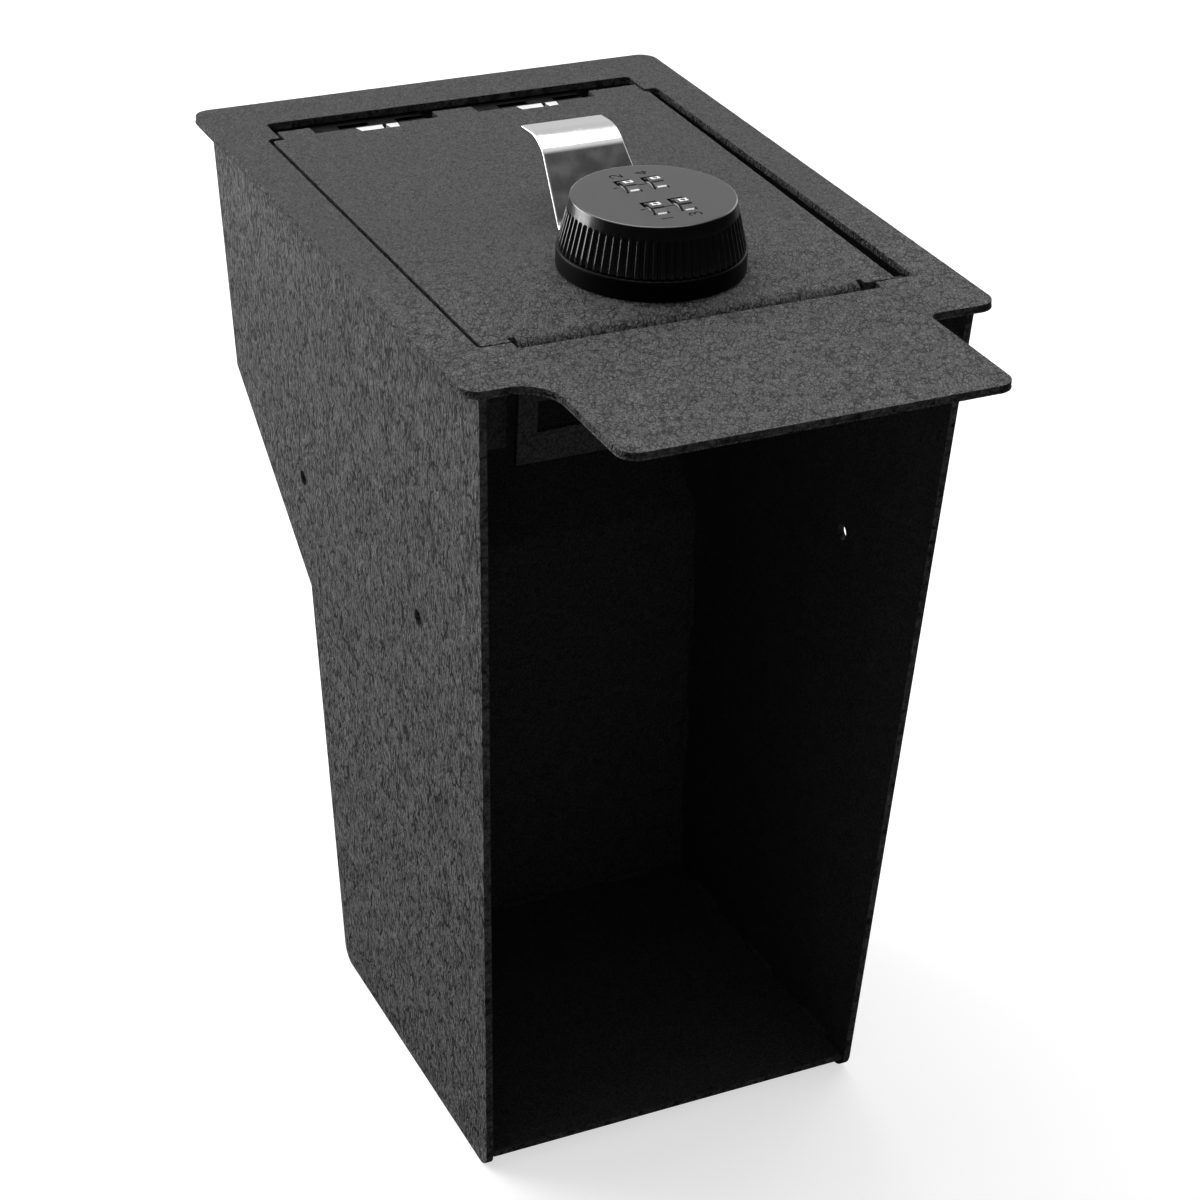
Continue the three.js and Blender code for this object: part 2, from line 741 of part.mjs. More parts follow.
// Cam: an arm on the spindle's end with a drive pin that reaches through the locking bar
function cam() {
  const tip = camPinOffset + camPinRadius + camTipMargin;
  const arm = rectangle(-camHubRadius, -camHubRadius, tip, camHubRadius, camHubRadius - fit);
  arm.holes.push(circle(0, 0, spindleRadius + fit));
  const pin = plateSolid(circle(camPinOffset, 0, camPinRadius), barBottomZ - fit, camZ + camThickness);
  const geometry = carve([plateSolid(arm, camZ, camZ + camThickness), pin]);
  return geometry.rotateZ(camHalfTurn).translate(knobX, knobY, 0);
}

function camScrew() {
  return turned([
    [0, camScrewZ],
    [camScrewHeadRadius, camScrewZ],
    [camScrewHeadRadius, camScrewZ + camScrewHeadHeight],
    [camScrewRadius, camScrewZ + camScrewHeadHeight],
    [camScrewRadius, camZ + camScrewLength - fit],
    [0, camZ + camScrewLength - fit],
  ]);
}

// Locking bar: a flat plate with a cross slot for the cam's pin
function lockingBar() {
  const half = barWidth / 2;
  const shape = outline([
    [knobX - half, barTip, barCornerRadius],
    [knobX + half, barTip, barCornerRadius],
    [knobX + half, knobY + barBehindKnob],
    [knobX - half, knobY + barBehindKnob],
  ]);
  shape.holes.push(rectangle(
    pinRestX - camPinRadius - barSlotEndPlay,
    pinRestY - camPinRadius - barSlotSidePlay,
    knobX + camPinOffset + camPinRadius + barSlotEndPlay,
    pinRestY + camPinRadius + barSlotSidePlay,
    camPinRadius,
  ));
  return plateSolid(shape, barBottomZ, barTopZ);
}

// Guide: a folded channel under the lid that holds one edge of the locking bar
function guide(side) {
  const edge = knobX + side * (barWidth / 2 + fit);
  const at = (out) => edge + side * out;
  const grooveTop = barTopZ + fit;
  const grooveBottom = barBottomZ - fit;
  const top = -lidThickness - fit;
  const corners = [
    [at(guideSheet + guideFoot), top],
    [at(0), top],
    [at(0), grooveTop + guideSheet],
    [at(-guideLip), grooveTop + guideSheet],
    [at(-guideLip), grooveTop],
    [at(0), grooveTop],
    [at(0), grooveBottom],
    [at(-guideLip), grooveBottom],
    [at(-guideLip), grooveBottom - guideSheet],
    [at(guideSheet), grooveBottom - guideSheet],
    [at(guideSheet), top - guideSheet],
    [at(guideSheet + guideFoot), top - guideSheet],
  ];
  const front = flangeFace + flangeLean + lidThickness + guideFrontGap;
  return lengthwaysSolid(outline(corners), front, knobY + guideRearFromKnob);
}

add('top_plate', topPlate(), powderCoat);
add('left_wall', sideWall('left'), powderCoat);
add('right_wall', sideWall('right'), powderCoat);
add('back_wall', backWall(), powderCoat);
add('floor_plate', floorPlate(), powderCoat);
add('lid_stop_left', lidStop('left'), powderCoat);
add('lid_stop_right', lidStop('right'), powderCoat);
add('strike', strike(), powderCoat);
add('lid', lid(), powderCoat);
hingeCentres.forEach((centre, i) => {
  const side = ['left', 'right'][i];
  const half = hingeLength / 2;
  add(`${side}_hinge_frame_leaf`, hingeLeaf(centre, 1, 0), zincPlate);
  add(`${side}_hinge_lid_leaf`, hingeLeaf(centre, -1, 1), zincPlate);
  add(`${side}_hinge_pin`, roundAlongX(hingePinRadius, centre - half, centre + half, hingeAxisY, hingeAxisZ), zincPlate);
});
add('finger_pull', fingerPull(), brightPlate);
add('knob_base', knobBase(), blackPlastic);
add('knob', knob(), blackPlastic);
add('wheel_1', numberWheel(columns[0], rows.front), blackPlastic);
add('wheel_2', numberWheel(columns[0], rows.rear), blackPlastic);
add('wheel_3', numberWheel(columns[1], rows.front), blackPlastic);
add('wheel_4', numberWheel(columns[1], rows.rear), blackPlastic);
add('wheel_axle_front', wheelAxle(rows.front), zincPlate);
add('wheel_axle_rear', wheelAxle(rows.rear), zincPlate);
add('lock_barrel', lockBarrel(), zincPlate);
add('lock_washer', lockWasher(), zincPlate);
add('lock_nut', lockNut(), zincPlate);
add('spindle', spindle(), zincPlate);
add('cam', cam(), zincPlate);
add('cam_screw', camScrew(), zincPlate);
add('locking_bar', lockingBar(), zincPlate);
add('guide_left', guide(-1), zincPlate);
add('guide_right', guide(1), zincPlate);

// Stand the safe on the middle of its base
safe.position.set(-plateWidth / 2, -(plateLength - tongueReach) / 2, caseHeight);

export default safe;
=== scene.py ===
# A drop-in console safe: a welded sheet-steel case with an open front, a hinged lid with a bright finger
# pull, and a knob with four number wheels. Shapes are drawn in millimetres from the top plate's front left
# corner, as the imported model's are, and moved to the frame's metres as they are made.
import math

import bmesh
import bpy
from mathutils import Matrix, Vector, noise


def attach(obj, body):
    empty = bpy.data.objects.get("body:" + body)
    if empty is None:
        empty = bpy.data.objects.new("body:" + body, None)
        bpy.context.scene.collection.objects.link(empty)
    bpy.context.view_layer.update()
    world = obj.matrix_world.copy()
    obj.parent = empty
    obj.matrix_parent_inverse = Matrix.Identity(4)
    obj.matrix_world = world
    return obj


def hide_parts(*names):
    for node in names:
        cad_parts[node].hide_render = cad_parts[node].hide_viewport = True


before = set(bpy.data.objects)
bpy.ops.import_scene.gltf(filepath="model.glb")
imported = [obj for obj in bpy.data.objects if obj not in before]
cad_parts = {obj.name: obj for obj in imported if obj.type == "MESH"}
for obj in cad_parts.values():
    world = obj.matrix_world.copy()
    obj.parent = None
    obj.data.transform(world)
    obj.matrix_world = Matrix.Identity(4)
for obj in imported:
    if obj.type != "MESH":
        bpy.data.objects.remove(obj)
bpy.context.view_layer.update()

# Top plate. One laser-cut sheet of 2.4 mm steel with a tongue over the open front and a stepped opening for
# the lid, sprayed with wrinkled powder coat, which rounds the cut edges. The cut edges are drawn in darker
# copies of the coat, painted shade, lighter on the edges that face the sides.
MM = 0.001
PLATE_WIDTH = 168
PLATE_LENGTH = 232
PLATE_THICKNESS = 2.4
TONGUE_REACH = 49
TONGUE_INSET = 23.8
CASE_HEIGHT = 287.1
CORNER = 6
COAT_ROUNDING = 0.55
COAT_LIP = 0.24
CREASE_DEPTH = 0.0003
CELLS_PER_METRE = 320
CELL_WANDER = 0.0022
# Where the coat's colour passes from its front share to its rear share of painted shade, in metres along the
# safe.
REAR_SHARE_FROM, FRONT_SHARE_FROM = 0.02, -0.055


def place(x, y, z):
    """A drawn point, in millimetres, as a place in the frame."""
    return Vector((x - PLATE_WIDTH / 2, y - (PLATE_LENGTH - TONGUE_REACH) / 2, z + CASE_HEIGHT)) * MM


def outline(corners, steps=8):
    """A closed outline through [x, y] or [x, y, radius] corners, each radius drawn as an arc."""
    points = []
    for i, (x, y, *radius) in enumerate(corners):
        here = Vector((x, y))
        if not radius:
            points.append(here)
            continue
        back = (Vector(corners[i - 1][:2]) - here).normalized()
        on = (Vector(corners[(i + 1) % len(corners)][:2]) - here).normalized()
        half = back.angle(on) / 2
        centre = here + (back + on).normalized() * radius[0] / math.sin(half)
        start, end = (here + side * radius[0] / math.tan(half) - centre for side in (back, on))
        first = math.atan2(start.y, start.x)
        sweep = (math.atan2(end.y, end.x) - first + math.pi) % (2 * math.pi) - math.pi
        for step in range(steps + 1):
            angle = first + sweep * step / steps
            points.append(centre + Vector((math.cos(angle), math.sin(angle))) * radius[0])
    return points


def inset(rim, depth):
    """A closed rim moved in by a depth."""
    moved = []
    for i, point in enumerate(rim):
        back = (point - rim[i - 1]).normalized()
        on = (rim[(i + 1) % len(rim)] - point).normalized()
        along = (back + on).normalized()
        moved.append(point + Vector((-along.y, along.x)) * depth / along.dot(on))
    return moved


def circle(x, y, radius, steps=48):
    turn = 2 * math.pi / steps
    return [Vector((x + radius * math.cos(i * turn), y + radius * math.sin(i * turn))) for i in range(steps)]


def sheet(loops, low, high, to_frame=place):
    """A closed sheet between two heights. The first loop runs round it and the others round its holes."""
    form = bmesh.new()
    rims = []
    for height in (low, high):
        edges = []
        for loop in loops:
            rim = [form.verts.new(to_frame(x, y, height)) for x, y in loop]
            edges += [form.edges.new((rim[i - 1], rim[i])) for i in range(len(rim))]
            rims.append(rim)
        bmesh.ops.triangle_fill(form, edges=edges, use_beauty=True)
    for lower, upper in zip(rims, rims[len(loops):]):
        for i in range(len(lower)):
            form.faces.new((lower[i - 1], lower[i], upper[i], upper[i - 1]))
    bmesh.ops.recalc_face_normals(form, faces=form.faces)
    return form


def round_edges(form, width, sharp=50, steps=3):
    """Rounds every edge where two faces meet at more than the sharp angle, in degrees."""
    edges = [e for e in form.edges if e.is_manifold and e.calc_face_angle() > math.radians(sharp)]
    bmesh.ops.bevel(
        form, geom=edges, offset=width * MM, segments=steps, profile=0.5, affect="EDGES", clamp_overlap=True
    )


def roughen_edges(form, reach=0.09, step=1.4):
    """Lets the coat's edges wander a little sideways, as sprayed edges do."""
    turned = math.radians(8)
    level = 0.1 * MM
    waves_per_mm = 0.9
    elsewhere = Vector((50, 0, 0))
    while True:
        long = [
            e for e in form.edges
            if e.is_manifold and e.calc_face_angle() > turned and e.calc_length() > 1.5 * step * MM
            and abs((e.verts[0].co - e.verts[1].co).z) < level
        ]
        if not long:
            break
        bmesh.ops.subdivide_edges(form, edges=long, cuts=1)
    for vert in form.verts:
        if any(not e.is_manifold or e.calc_face_angle() > turned for e in vert.link_edges):
            at = vert.co / MM * waves_per_mm
            vert.co.x += reach * MM * noise.noise(at)
            vert.co.y += reach * MM * noise.noise(at + elsewhere)


def piece(name, form, body, finishes, stands_for=(), finish_of=None):
    """Makes an object of the form, riding on its body, in place of the CAD nodes that it stands for."""
    if finish_of:
        form.normal_update()
        for face in form.faces:
            face.material_index = finish_of(face.normal, face.calc_center_median() / MM)
    for face in form.faces:
        face.smooth = True
    for edge in form.edges:
        edge.smooth = not edge.is_manifold or edge.calc_face_angle() < math.radians(38)
    mesh = bpy.data.meshes.new(name)
    form.to_mesh(mesh)
    form.free()
    for finish in finishes:
        mesh.materials.append(finish)
    made = bpy.data.objects.new(name, mesh)
    bpy.context.scene.collection.objects.link(made)
    shading = made.modifiers.new("face weighted normals", "WEIGHTED_NORMAL")
    shading.weight = 80
    shading.keep_sharp = True
    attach(made, body)
    if stands_for:
        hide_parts(*stands_for)
    return made


def surface(name):
    """A new material, with its node tree and its shader."""
    material = bpy.data.materials.new(name)
    material.use_nodes = True
    return material, material.node_tree, material.node_tree.nodes["Principled BSDF"]


def feed(tree, socket, value):
    """Gives a socket a number, a colour or another node's output."""
    if isinstance(value, bpy.types.NodeSocket):
        tree.links.new(value, socket)
    else:
        socket.default_value = value


def mixed(tree, kind, factor, low, high):
    """A Mix node between two values or colours."""
    mix = tree.nodes.new("ShaderNodeMix")
    mix.data_type = kind
    for index, value in zip((0, 2, 3) if kind == "FLOAT" else (0, 6, 7), (factor, low, high)):
        feed(tree, mix.inputs[index], value)
    return mix.outputs[0 if kind == "FLOAT" else 2]


def worked_out(tree, operation, *values, node="ShaderNodeMath"):
    """The result of a Math or Vector Math node."""
    made = tree.nodes.new(node)
    made.operation = operation
    for socket, value in zip(made.inputs, values):
        feed(tree, socket, value)
    return made.outputs[0]


def grey(level):
    return (level, level, level, 1)


def noise_at(tree, where, per_metre, detail=2.0, rough=0.5, output="Fac"):
    """Noise whose features are about 1 / per_metre long."""
    made = tree.nodes.new("ShaderNodeTexNoise")
    made.inputs["Scale"].default_value = per_metre
    made.inputs["Detail"].default_value = detail
    made.inputs["Roughness"].default_value = rough
    tree.links.new(where, made.inputs["Vector"])
    return made.outputs[output]


def spread(tree, value, low, high):
    """Stretches the span from low to high of a value over 0 to 1, softly at both ends."""
    made = tree.nodes.new("ShaderNodeMapRange")
    made.interpolation_type = "SMOOTHSTEP"
    made.inputs["From Min"].default_value = low
    made.inputs["From Max"].default_value = high
    tree.links.new(value, made.inputs["Value"])
    return made.outputs["Result"]


def emboss(tree, shader, height, strength, depth):
    """Raises a shader's surface where the height is 1 over where it is 0, by a depth in metres."""
    bump = tree.nodes.new("ShaderNodeBump")
    bump.inputs["Strength"].default_value = strength
    bump.inputs["Distance"].default_value = depth
    tree.links.new(height, bump.inputs["Height"])
    tree.links.new(bump.outputs["Normal"], shader.inputs["Normal"])


def powder_coat(name, level, specular, grain, lie, slant=0, front=1.0, rear=1.0):
    """Wrinkled powder coat: pebbles under 1 mm across, parted by short winding creases, with painted shade in
    the creases and hollows and painted highlight on the pebbles' tops. Lie draws them out, slant turns them,
    and front and rear give the creases' depth by their mean, and the share of the wrinkled colour at the
    safe's front and rear; the rest is a darker smooth colour, painted shade."""
    material, tree, shader = surface(name)
    shader.inputs["Specular IOR Level"].default_value = specular
    on_safe = tree.nodes.new("ShaderNodeTexCoord").outputs["Object"]
    drawn_out = tree.nodes.new("ShaderNodeMapping")
    drawn_out.vector_type = "TEXTURE"
    drawn_out.inputs["Rotation"].default_value = (0, 0, math.radians(slant))
    drawn_out.inputs["Scale"].default_value = lie
    tree.links.new(on_safe, drawn_out.inputs["Vector"])
    where = drawn_out.outputs["Vector"]

    def shade(share):
        return grey(level * share)

    folds = []
    for per_metre, width in ((560, 0.07), (1000, 0.1)):
        fold = worked_out(tree, "PINGPONG", noise_at(tree, where, per_metre), 0.5)
        folds.append(spread(tree, fold, 0.5 - width, 0.485))
    fine_patches = spread(tree, noise_at(tree, where, 300, 1), 0.42, 0.6)
    fold = mixed(tree, "FLOAT", fine_patches, folds[1], folds[0])
    warp = noise_at(tree, where, 450, output="Color")
    wander = worked_out(
        tree, "MULTIPLY_ADD", warp, (CELL_WANDER,) * 3, where, node="ShaderNodeVectorMath"
    )
    cells = tree.nodes.new("ShaderNodeTexVoronoi")
    cells.feature = "DISTANCE_TO_EDGE"
    cells.inputs["Scale"].default_value = CELLS_PER_METRE
    tree.links.new(wander, cells.inputs["Vector"])
    furrow = mixed(tree, "FLOAT", spread(tree, cells.outputs["Distance"], 0.03, 0.12), 1.0, 0.0)
    unbroken = spread(tree, noise_at(tree, on_safe, 230, 1), 0.36, 0.5)
    faint_fold = mixed(tree, "FLOAT", fold, 0.0, 0.8)
    short_furrow = mixed(tree, "FLOAT", unbroken, 0.0, furrow)
    crease_and_shade = worked_out(tree, "MAXIMUM", faint_fold, short_furrow)
    pebble = spread(tree, noise_at(tree, where, 1500, 2, 0.6), 0.34, 0.66)
    cloud = spread(tree, noise_at(tree, on_safe, 150), 0.3, 0.7)
    height = worked_out(tree, "SUBTRACT", pebble, crease_and_shade)
    emboss(tree, shader, height, grain, CREASE_DEPTH * (front + rear) / 2)
    # The pebbles' tops are lighter and the hollows darker, and the creases nearly black: painted highlight
    # and shade on the wrinkles, over the bump.
    dark = mixed(tree, "RGBA", cloud, shade(0.78), shade(0.96))
    pebble_highlight = mixed(tree, "RGBA", cloud, shade(1.38), shade(1.62))
    wrinkled = mixed(tree, "RGBA", crease_and_shade, mixed(tree, "RGBA", pebble, dark, pebble_highlight), shade(0.02))
    # A darker, smoother colour, painted shade, shows by the front and rear shares along the safe.
    soft = spread(tree, noise_at(tree, where, 700, 2, 0.6), 0.3, 0.7)
    smooth = mixed(tree, "RGBA", soft, shade(0.12), shade(0.58))
    places = tree.nodes.new("ShaderNodeSeparateXYZ")
    tree.links.new(on_safe, places.inputs["Vector"])
    forward = spread(tree, places.outputs["Y"], REAR_SHARE_FROM, FRONT_SHARE_FROM)
    depth = mixed(tree, "FLOAT", forward, rear, front)
    tree.links.new(mixed(tree, "RGBA", depth, smooth, wrinkled), shader.inputs["Base Color"])
    tree.links.new(mixed(tree, "FLOAT", pebble, 0.77, 0.52), shader.inputs["Roughness"])
    return material


# The top coat keeps only a quarter of its wrinkled colour at the rear and is darker there: painted shade.
coat = powder_coat("powder_coat", 0.078, 0.25, 0.9, (0.58, 1.1, 1.1), -26, rear=0.25)
wall_coat = powder_coat("wall_coat", 0.1, 0.25, 1, (1.7, 0.66, 2.4))
back_coat = powder_coat("back_coat", 0.1, 0.25, 1, (0.66, 1.7, 2.4))
# The edge coat is a darker copy of the coat for cut edges, painted shade, and the side edge coat a lighter
# copy for the plate's edges that face the sides.
side_edge_coat = powder_coat("side_edge_coat", 0.062, 0.2, 1, (1.7, 1.2, 1.5))
shaded_edge_coat = powder_coat("shaded_edge_coat", 0.08, 0.08, 0.8, (1.7, 1.7, 1.7), front=0.3, rear=0.3)
# The inner coat is a darker copy of the coat, painted shade for the case's inside, undersides and the lid's
# flange.
shaded_inner_coat = powder_coat("shaded_inner_coat", 0.076, 0.1, 0.6, (0.5, 0.5, 0.5), front=0.15, rear=0.15)
COATS = (coat, shaded_edge_coat, shaded_inner_coat, side_edge_coat)
WALL_COATS = (wall_coat, shaded_edge_coat, shaded_inner_coat)
COAT, SHADED_EDGE, SHADED_INNER, SIDE_EDGE = range(4)

opening = outline([
    [15, 26.4, 1.5], [25.3, 26.4], [25.3, 22.2, 1.2],
    [141.2, 22.2, 1.2], [141.2, 26.4], [154.4, 26.4, 1.5],
    [154.4, 198.9, 1.5], [150.1, 198.9], [150.1, 212.4, 1.5],
    [19.3, 212.4, 1.5], [19.3, 198.9], [15, 198.9, 1.5],
])


# The top takes the coat, and the cut edges the darker copies, painted shade.
def plate_coat_and_shade(normal, _):
    if normal.z > 0.7:
        return COAT
    return SIDE_EDGE if abs(normal.x) > 0.6 else SHADED_EDGE


tongue_right = PLATE_WIDTH - TONGUE_INSET
plate_rim = outline([
    [0, 0, CORNER], [TONGUE_INSET, 0, 12], [TONGUE_INSET, -TONGUE_REACH, CORNER],
    [tongue_right, -TONGUE_REACH, CORNER], [tongue_right, 0, 3], [PLATE_WIDTH, 0, CORNER],
    [PLATE_WIDTH, PLATE_LENGTH, CORNER], [0, PLATE_LENGTH, CORNER],
])
plate = sheet([inset(plate_rim, COAT_LIP), opening], -PLATE_THICKNESS + 0.02, 0)
round_edges(plate, COAT_ROUNDING)
roughen_edges(plate)
piece("rim_plate", plate, "case", COATS, ["top_plate"], plate_coat_and_shade)
lip = sheet([inset(plate_rim, 0.06), inset(plate_rim, 1.6)], -PLATE_THICKNESS, -PLATE_THICKNESS + 0.5)
round_edges(lip, 0.2, steps=2)
roughen_edges(lip, reach=0.06)
piece("coat_lip", lip, "case", [coat])

# Side walls. Two flat sheets that lean in towards the floor, each drilled for two screws, and stitch-welded
# to the plate, the back and the floor. The coat is even outside; the inner faces and cut edges are drawn in
# darker copies of it, painted shade.
WALL_THICKNESS = 2.4
CASE_TOP = -2.7
SCREW_HOLE_RADIUS = 2.6
SCREW_HOLE_DEPTH = 101.5
SCREW_HOLES = (58.1, 157.5)
WALL_GAP = 0.3
WALL_INSET = WALL_THICKNESS + WALL_GAP
LOW_CORNER = 6
LEAN_AT_TOP, LEAN_TO_FLOOR = 5.7, 11.8
FRONT_AT_TOP, FRONT_TO_FLOOR = 4.1, 14.6
REAR = [(228.1, 0), (219.9, -87.6), (156.4, -141.4), (144.7, -CASE_HEIGHT)]


def lean_in(z):
    """How far a side wall's outer face stands in from the plate's side, at a height."""
    return LEAN_AT_TOP - LEAN_TO_FLOOR * z / CASE_HEIGHT


def front_edge(z):
    """Where a side wall's front edge stands, at a height."""
    return FRONT_AT_TOP - FRONT_TO_FLOOR * z / CASE_HEIGHT


def rear_at(z, depth=0.0):
    """Where the back's outer face, or a face at a depth inside it, stands at a height."""
    lines = []
    for (y1, z1), (y2, z2) in zip(REAR, REAR[1:]):
        along = (Vector((y2, z2)) - Vector((y1, z1))).normalized()
        inward = Vector((along.y, -along.x)) * depth
        lines.append((y1 + inward.x, z1 + inward.y, along))
    reach = [y + along.x * (z - low) / along.y for y, low, along in lines]
    upper, slope, lower = reach
    return max(lower, min(upper, slope))


def rear_bends(depth=0.0):
    """The two bends of the back's profile, or of one at a depth inside it."""
    places = []
    for (y1, z1), (y2, z2), (y3, z3) in zip(REAR, REAR[1:], REAR[2:]):
        above = (Vector((y2, z2)) - Vector((y1, z1))).normalized()
        below = (Vector((y3, z3)) - Vector((y2, z2))).normalized()
        normal_above, normal_below = Vector((above.y, -above.x)), Vector((below.y, -below.x))
        half = (normal_above + normal_below).normalized()
        places.append(Vector((y2, z2)) + half * depth / half.dot(normal_above))
    return places


def side_wall(side):
    """One side wall, drawn in Y and Z, with its thickness measured in from its outer face."""
    bends = rear_bends()
    profile = outline([
        [front_edge(CASE_TOP), CASE_TOP], [front_edge(-CASE_HEIGHT), -CASE_HEIGHT, LOW_CORNER],
        [rear_at(-CASE_HEIGHT), -CASE_HEIGHT, LOW_CORNER], list(bends[1]), list(bends[0]),
        [rear_at(CASE_TOP), CASE_TOP],
    ])
    holes = [circle(y, -SCREW_HOLE_DEPTH, SCREW_HOLE_RADIUS, 32) for y in SCREW_HOLES]

    def stand(y, z, depth):
        x = lean_in(z) + depth
        return place(x if side == "left" else PLATE_WIDTH - x, y, z)

    return sheet([profile, *holes], 0, WALL_THICKNESS, stand)


# Outer faces take the coat, and inner faces and cut edges the darker copies, painted shade.
def wall_coat_and_shade(outward):
    def finish(normal, _):
        facing = normal.x * outward
        if facing > 0.7:
            return COAT
        return SHADED_INNER if facing < -0.7 else SHADED_EDGE

    return finish


for side, outward in (("left", -1), ("right", 1)):
    wall = side_wall(side)
    round_edges(wall, 0.4)
    piece(f"{side}_side", wall, "case", WALL_COATS, [f"{side}_wall"], wall_coat_and_shade(outward))

# Back wall and floor. The back is one sheet folded twice, with soft folds; the floor stands a little above
# the walls' lower edges. Both sit between the side walls, where stitch welds hold them from inside.
FLOOR_RAISE = 4.2
FOLD_RADIUS = 3.5


def between_walls(profile):
    """A profile in Y and Z carried from the left wall's inner face to the right one's."""
    def stand(y, z, share):
        left = lean_in(z) + WALL_INSET
        return place(left + (PLATE_WIDTH - 2 * left) * share, y, z)

    return sheet([profile], 0, 1, stand)


floor_bottom = -CASE_HEIGHT + FLOOR_RAISE
inner_bends, outer_bends = rear_bends(WALL_THICKNESS), rear_bends()
back = between_walls(outline([
    [rear_at(CASE_TOP, WALL_THICKNESS), CASE_TOP],
    [*inner_bends[0], FOLD_RADIUS],
    [*inner_bends[1], FOLD_RADIUS + WALL_THICKNESS],
    [rear_at(floor_bottom, WALL_THICKNESS), floor_bottom],
    [rear_at(floor_bottom), floor_bottom],
    [*outer_bends[1], FOLD_RADIUS],
    [*outer_bends[0], FOLD_RADIUS + WALL_THICKNESS],
    [rear_at(CASE_TOP), CASE_TOP],
]))
round_edges(back, 0.4)
# The back's inner face and edges take the darker coats, painted shade.
piece(
    "back_sheet", back, "case", (back_coat, shaded_edge_coat, shaded_inner_coat), ["back_wall"],
    lambda normal, _: SHADED_EDGE if abs(normal.x) > 0.7 else COAT if normal.y > 0.2 else SHADED_INNER,
)
floor_top = floor_bottom + WALL_THICKNESS
floor_front = front_edge(floor_bottom) + 0.5
case_floor = between_walls(outline([
    [floor_front, floor_bottom], [rear_at(floor_bottom, WALL_INSET), floor_bottom],
    [rear_at(floor_top, WALL_INSET), floor_top], [floor_front, floor_top],
]))
round_edges(case_floor, 0.4)
# The floor's upper face and edges take the darker coats, painted shade.
piece(
    "floor_sheet", case_floor, "case", WALL_COATS, ["floor_plate"],
    lambda normal, _: SHADED_INNER if normal.z > 0.7 else COAT if normal.z < -0.7 else SHADED_EDGE,
)

# Stitch welds. Short rippled fillets inside the case, between the back and the side walls and along the
# floor, in the darker inner coat, painted shade. Those under the plate are not drawn.
WELD_RADIUS = 1.7
WELD_RIPPLE = 1.3
WALL_WELD = 20
FLOOR_WELD = 18


def weld(form, start, end, seed):
    """A bead between two drawn points, rippled along its length and rounded off at both ends."""
    start, end = Vector(start), Vector(end)
    length = (end - start).length
    rings, around = max(12, round(length * 3)), 10
    along = (end - start).normalized()
    side = along.orthogonal().normalized()
    up = along.cross(side)
    loops = []
    for i in range(rings + 1):
        share = i / rings
        ripple = 0.9 + 0.12 * abs(math.sin(math.pi * share * length / WELD_RIPPLE))
        wander = 0.07 * noise.noise(Vector((share * length * 0.7, seed, 0)))
        taper = math.sqrt(max(0.02, 1 - (2 * share - 1) ** 8))
        radius = WELD_RADIUS * taper * (ripple + wander)
        centre = start + along * length * share
        loops.append([
            form.verts.new(place(*(
                centre + (side * math.cos(turn) + up * math.sin(turn)) * radius
            ))) for turn in (2 * math.pi * k / around for k in range(around))
        ])
    for lower, upper in zip(loops, loops[1:]):
        for k in range(around):
            form.faces.new((lower[k - 1], lower[k], upper[k], upper[k - 1]))
    form.faces.new(loops[0])
    form.faces.new(loops[-1])


def inside_walls(z):
    """The left and right walls' inner faces at a height."""
    x = lean_in(z) + WALL_INSET
    return x, PLATE_WIDTH - x


beads = []
for high_end in (-18, -60, -165, -215, -262):
    heights = (high_end, high_end - WALL_WELD)
    beads += zip(*([(x, rear_at(z, WALL_THICKNESS), z) for x in inside_walls(z)] for z in heights))
for y in (30, 70, 112):
    beads += [((x, y, floor_top), (x, y + FLOOR_WELD, floor_top)) for x in inside_walls(floor_top)]
for x in (34, 76, 118):
    y = rear_at(floor_top, WALL_INSET)
    beads.append(((x, y, floor_top), (x + FLOOR_WELD, y, floor_top)))
welds = bmesh.new()
for seed, (start, end) in enumerate(beads, 1):
    weld(welds, start, end, seed)
bmesh.ops.recalc_face_normals(welds, faces=welds.faces)
piece("stitch_welds", welds, "case", [shaded_inner_coat])

# Lid stops and strike. Sheet-steel gussets in the front corners, which the lid comes down on, and an angle
# under the rim whose window takes the locking bar. Both are welded in and drawn in the darker inner coat,
# painted shade.


def copy_of(node):
    """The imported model's own form of a node, with its flat faces joined again."""
    form = bmesh.new()
    form.from_mesh(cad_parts[node].data)
    bmesh.ops.remove_doubles(form, verts=form.verts, dist=0.004 * MM)
    bmesh.ops.dissolve_limit(form, angle_limit=math.radians(0.6), verts=form.verts, edges=form.edges)
    return form


for side in ("left", "right"):
    stop = copy_of(f"lid_stop_{side}")
    round_edges(stop, 0.4)
    piece(f"{side}_stop", stop, "case", [shaded_inner_coat], [f"lid_stop_{side}"])
keeper = copy_of("strike")
round_edges(keeper, 0.35)
piece("keeper_angle", keeper, "case", [shaded_inner_coat], ["strike"])

# Lid. A sheet cut with three rear tabs and two notched hinge recesses, its front folded down as a flange with
# the locking bar's window, and coated like the plate. Its underside, flange and cut edges are drawn in the
# darker coats, painted shade.
SHEET_LOW = -2.5
TABS_FROM = 205
TAB_TRIM = 1.2
NOTCH_FRONT, NOTCH_REAR = 26, 32
NOTCH_TRIM = 1.7
NOTCH_SIDES = ((24.1, 1.2), (139.8, -1.6))
FLANGE_TOP = CASE_HEIGHT - 3.1

lid = copy_of("lid")
for vert in lid.verts:
    x, y, z = (vert.co - place(0, 0, 0)) / MM
    if z <= SHEET_LOW:
        continue
    if y > TABS_FROM:
        vert.co.y -= TAB_TRIM * MM
    if NOTCH_REAR - 1 < y < NOTCH_REAR:
        vert.co.y -= NOTCH_TRIM * MM
    for side_x, trim in NOTCH_SIDES:
        if NOTCH_FRONT < y < NOTCH_REAR and abs(x - side_x) < 0.1:
            vert.co.x += trim * MM


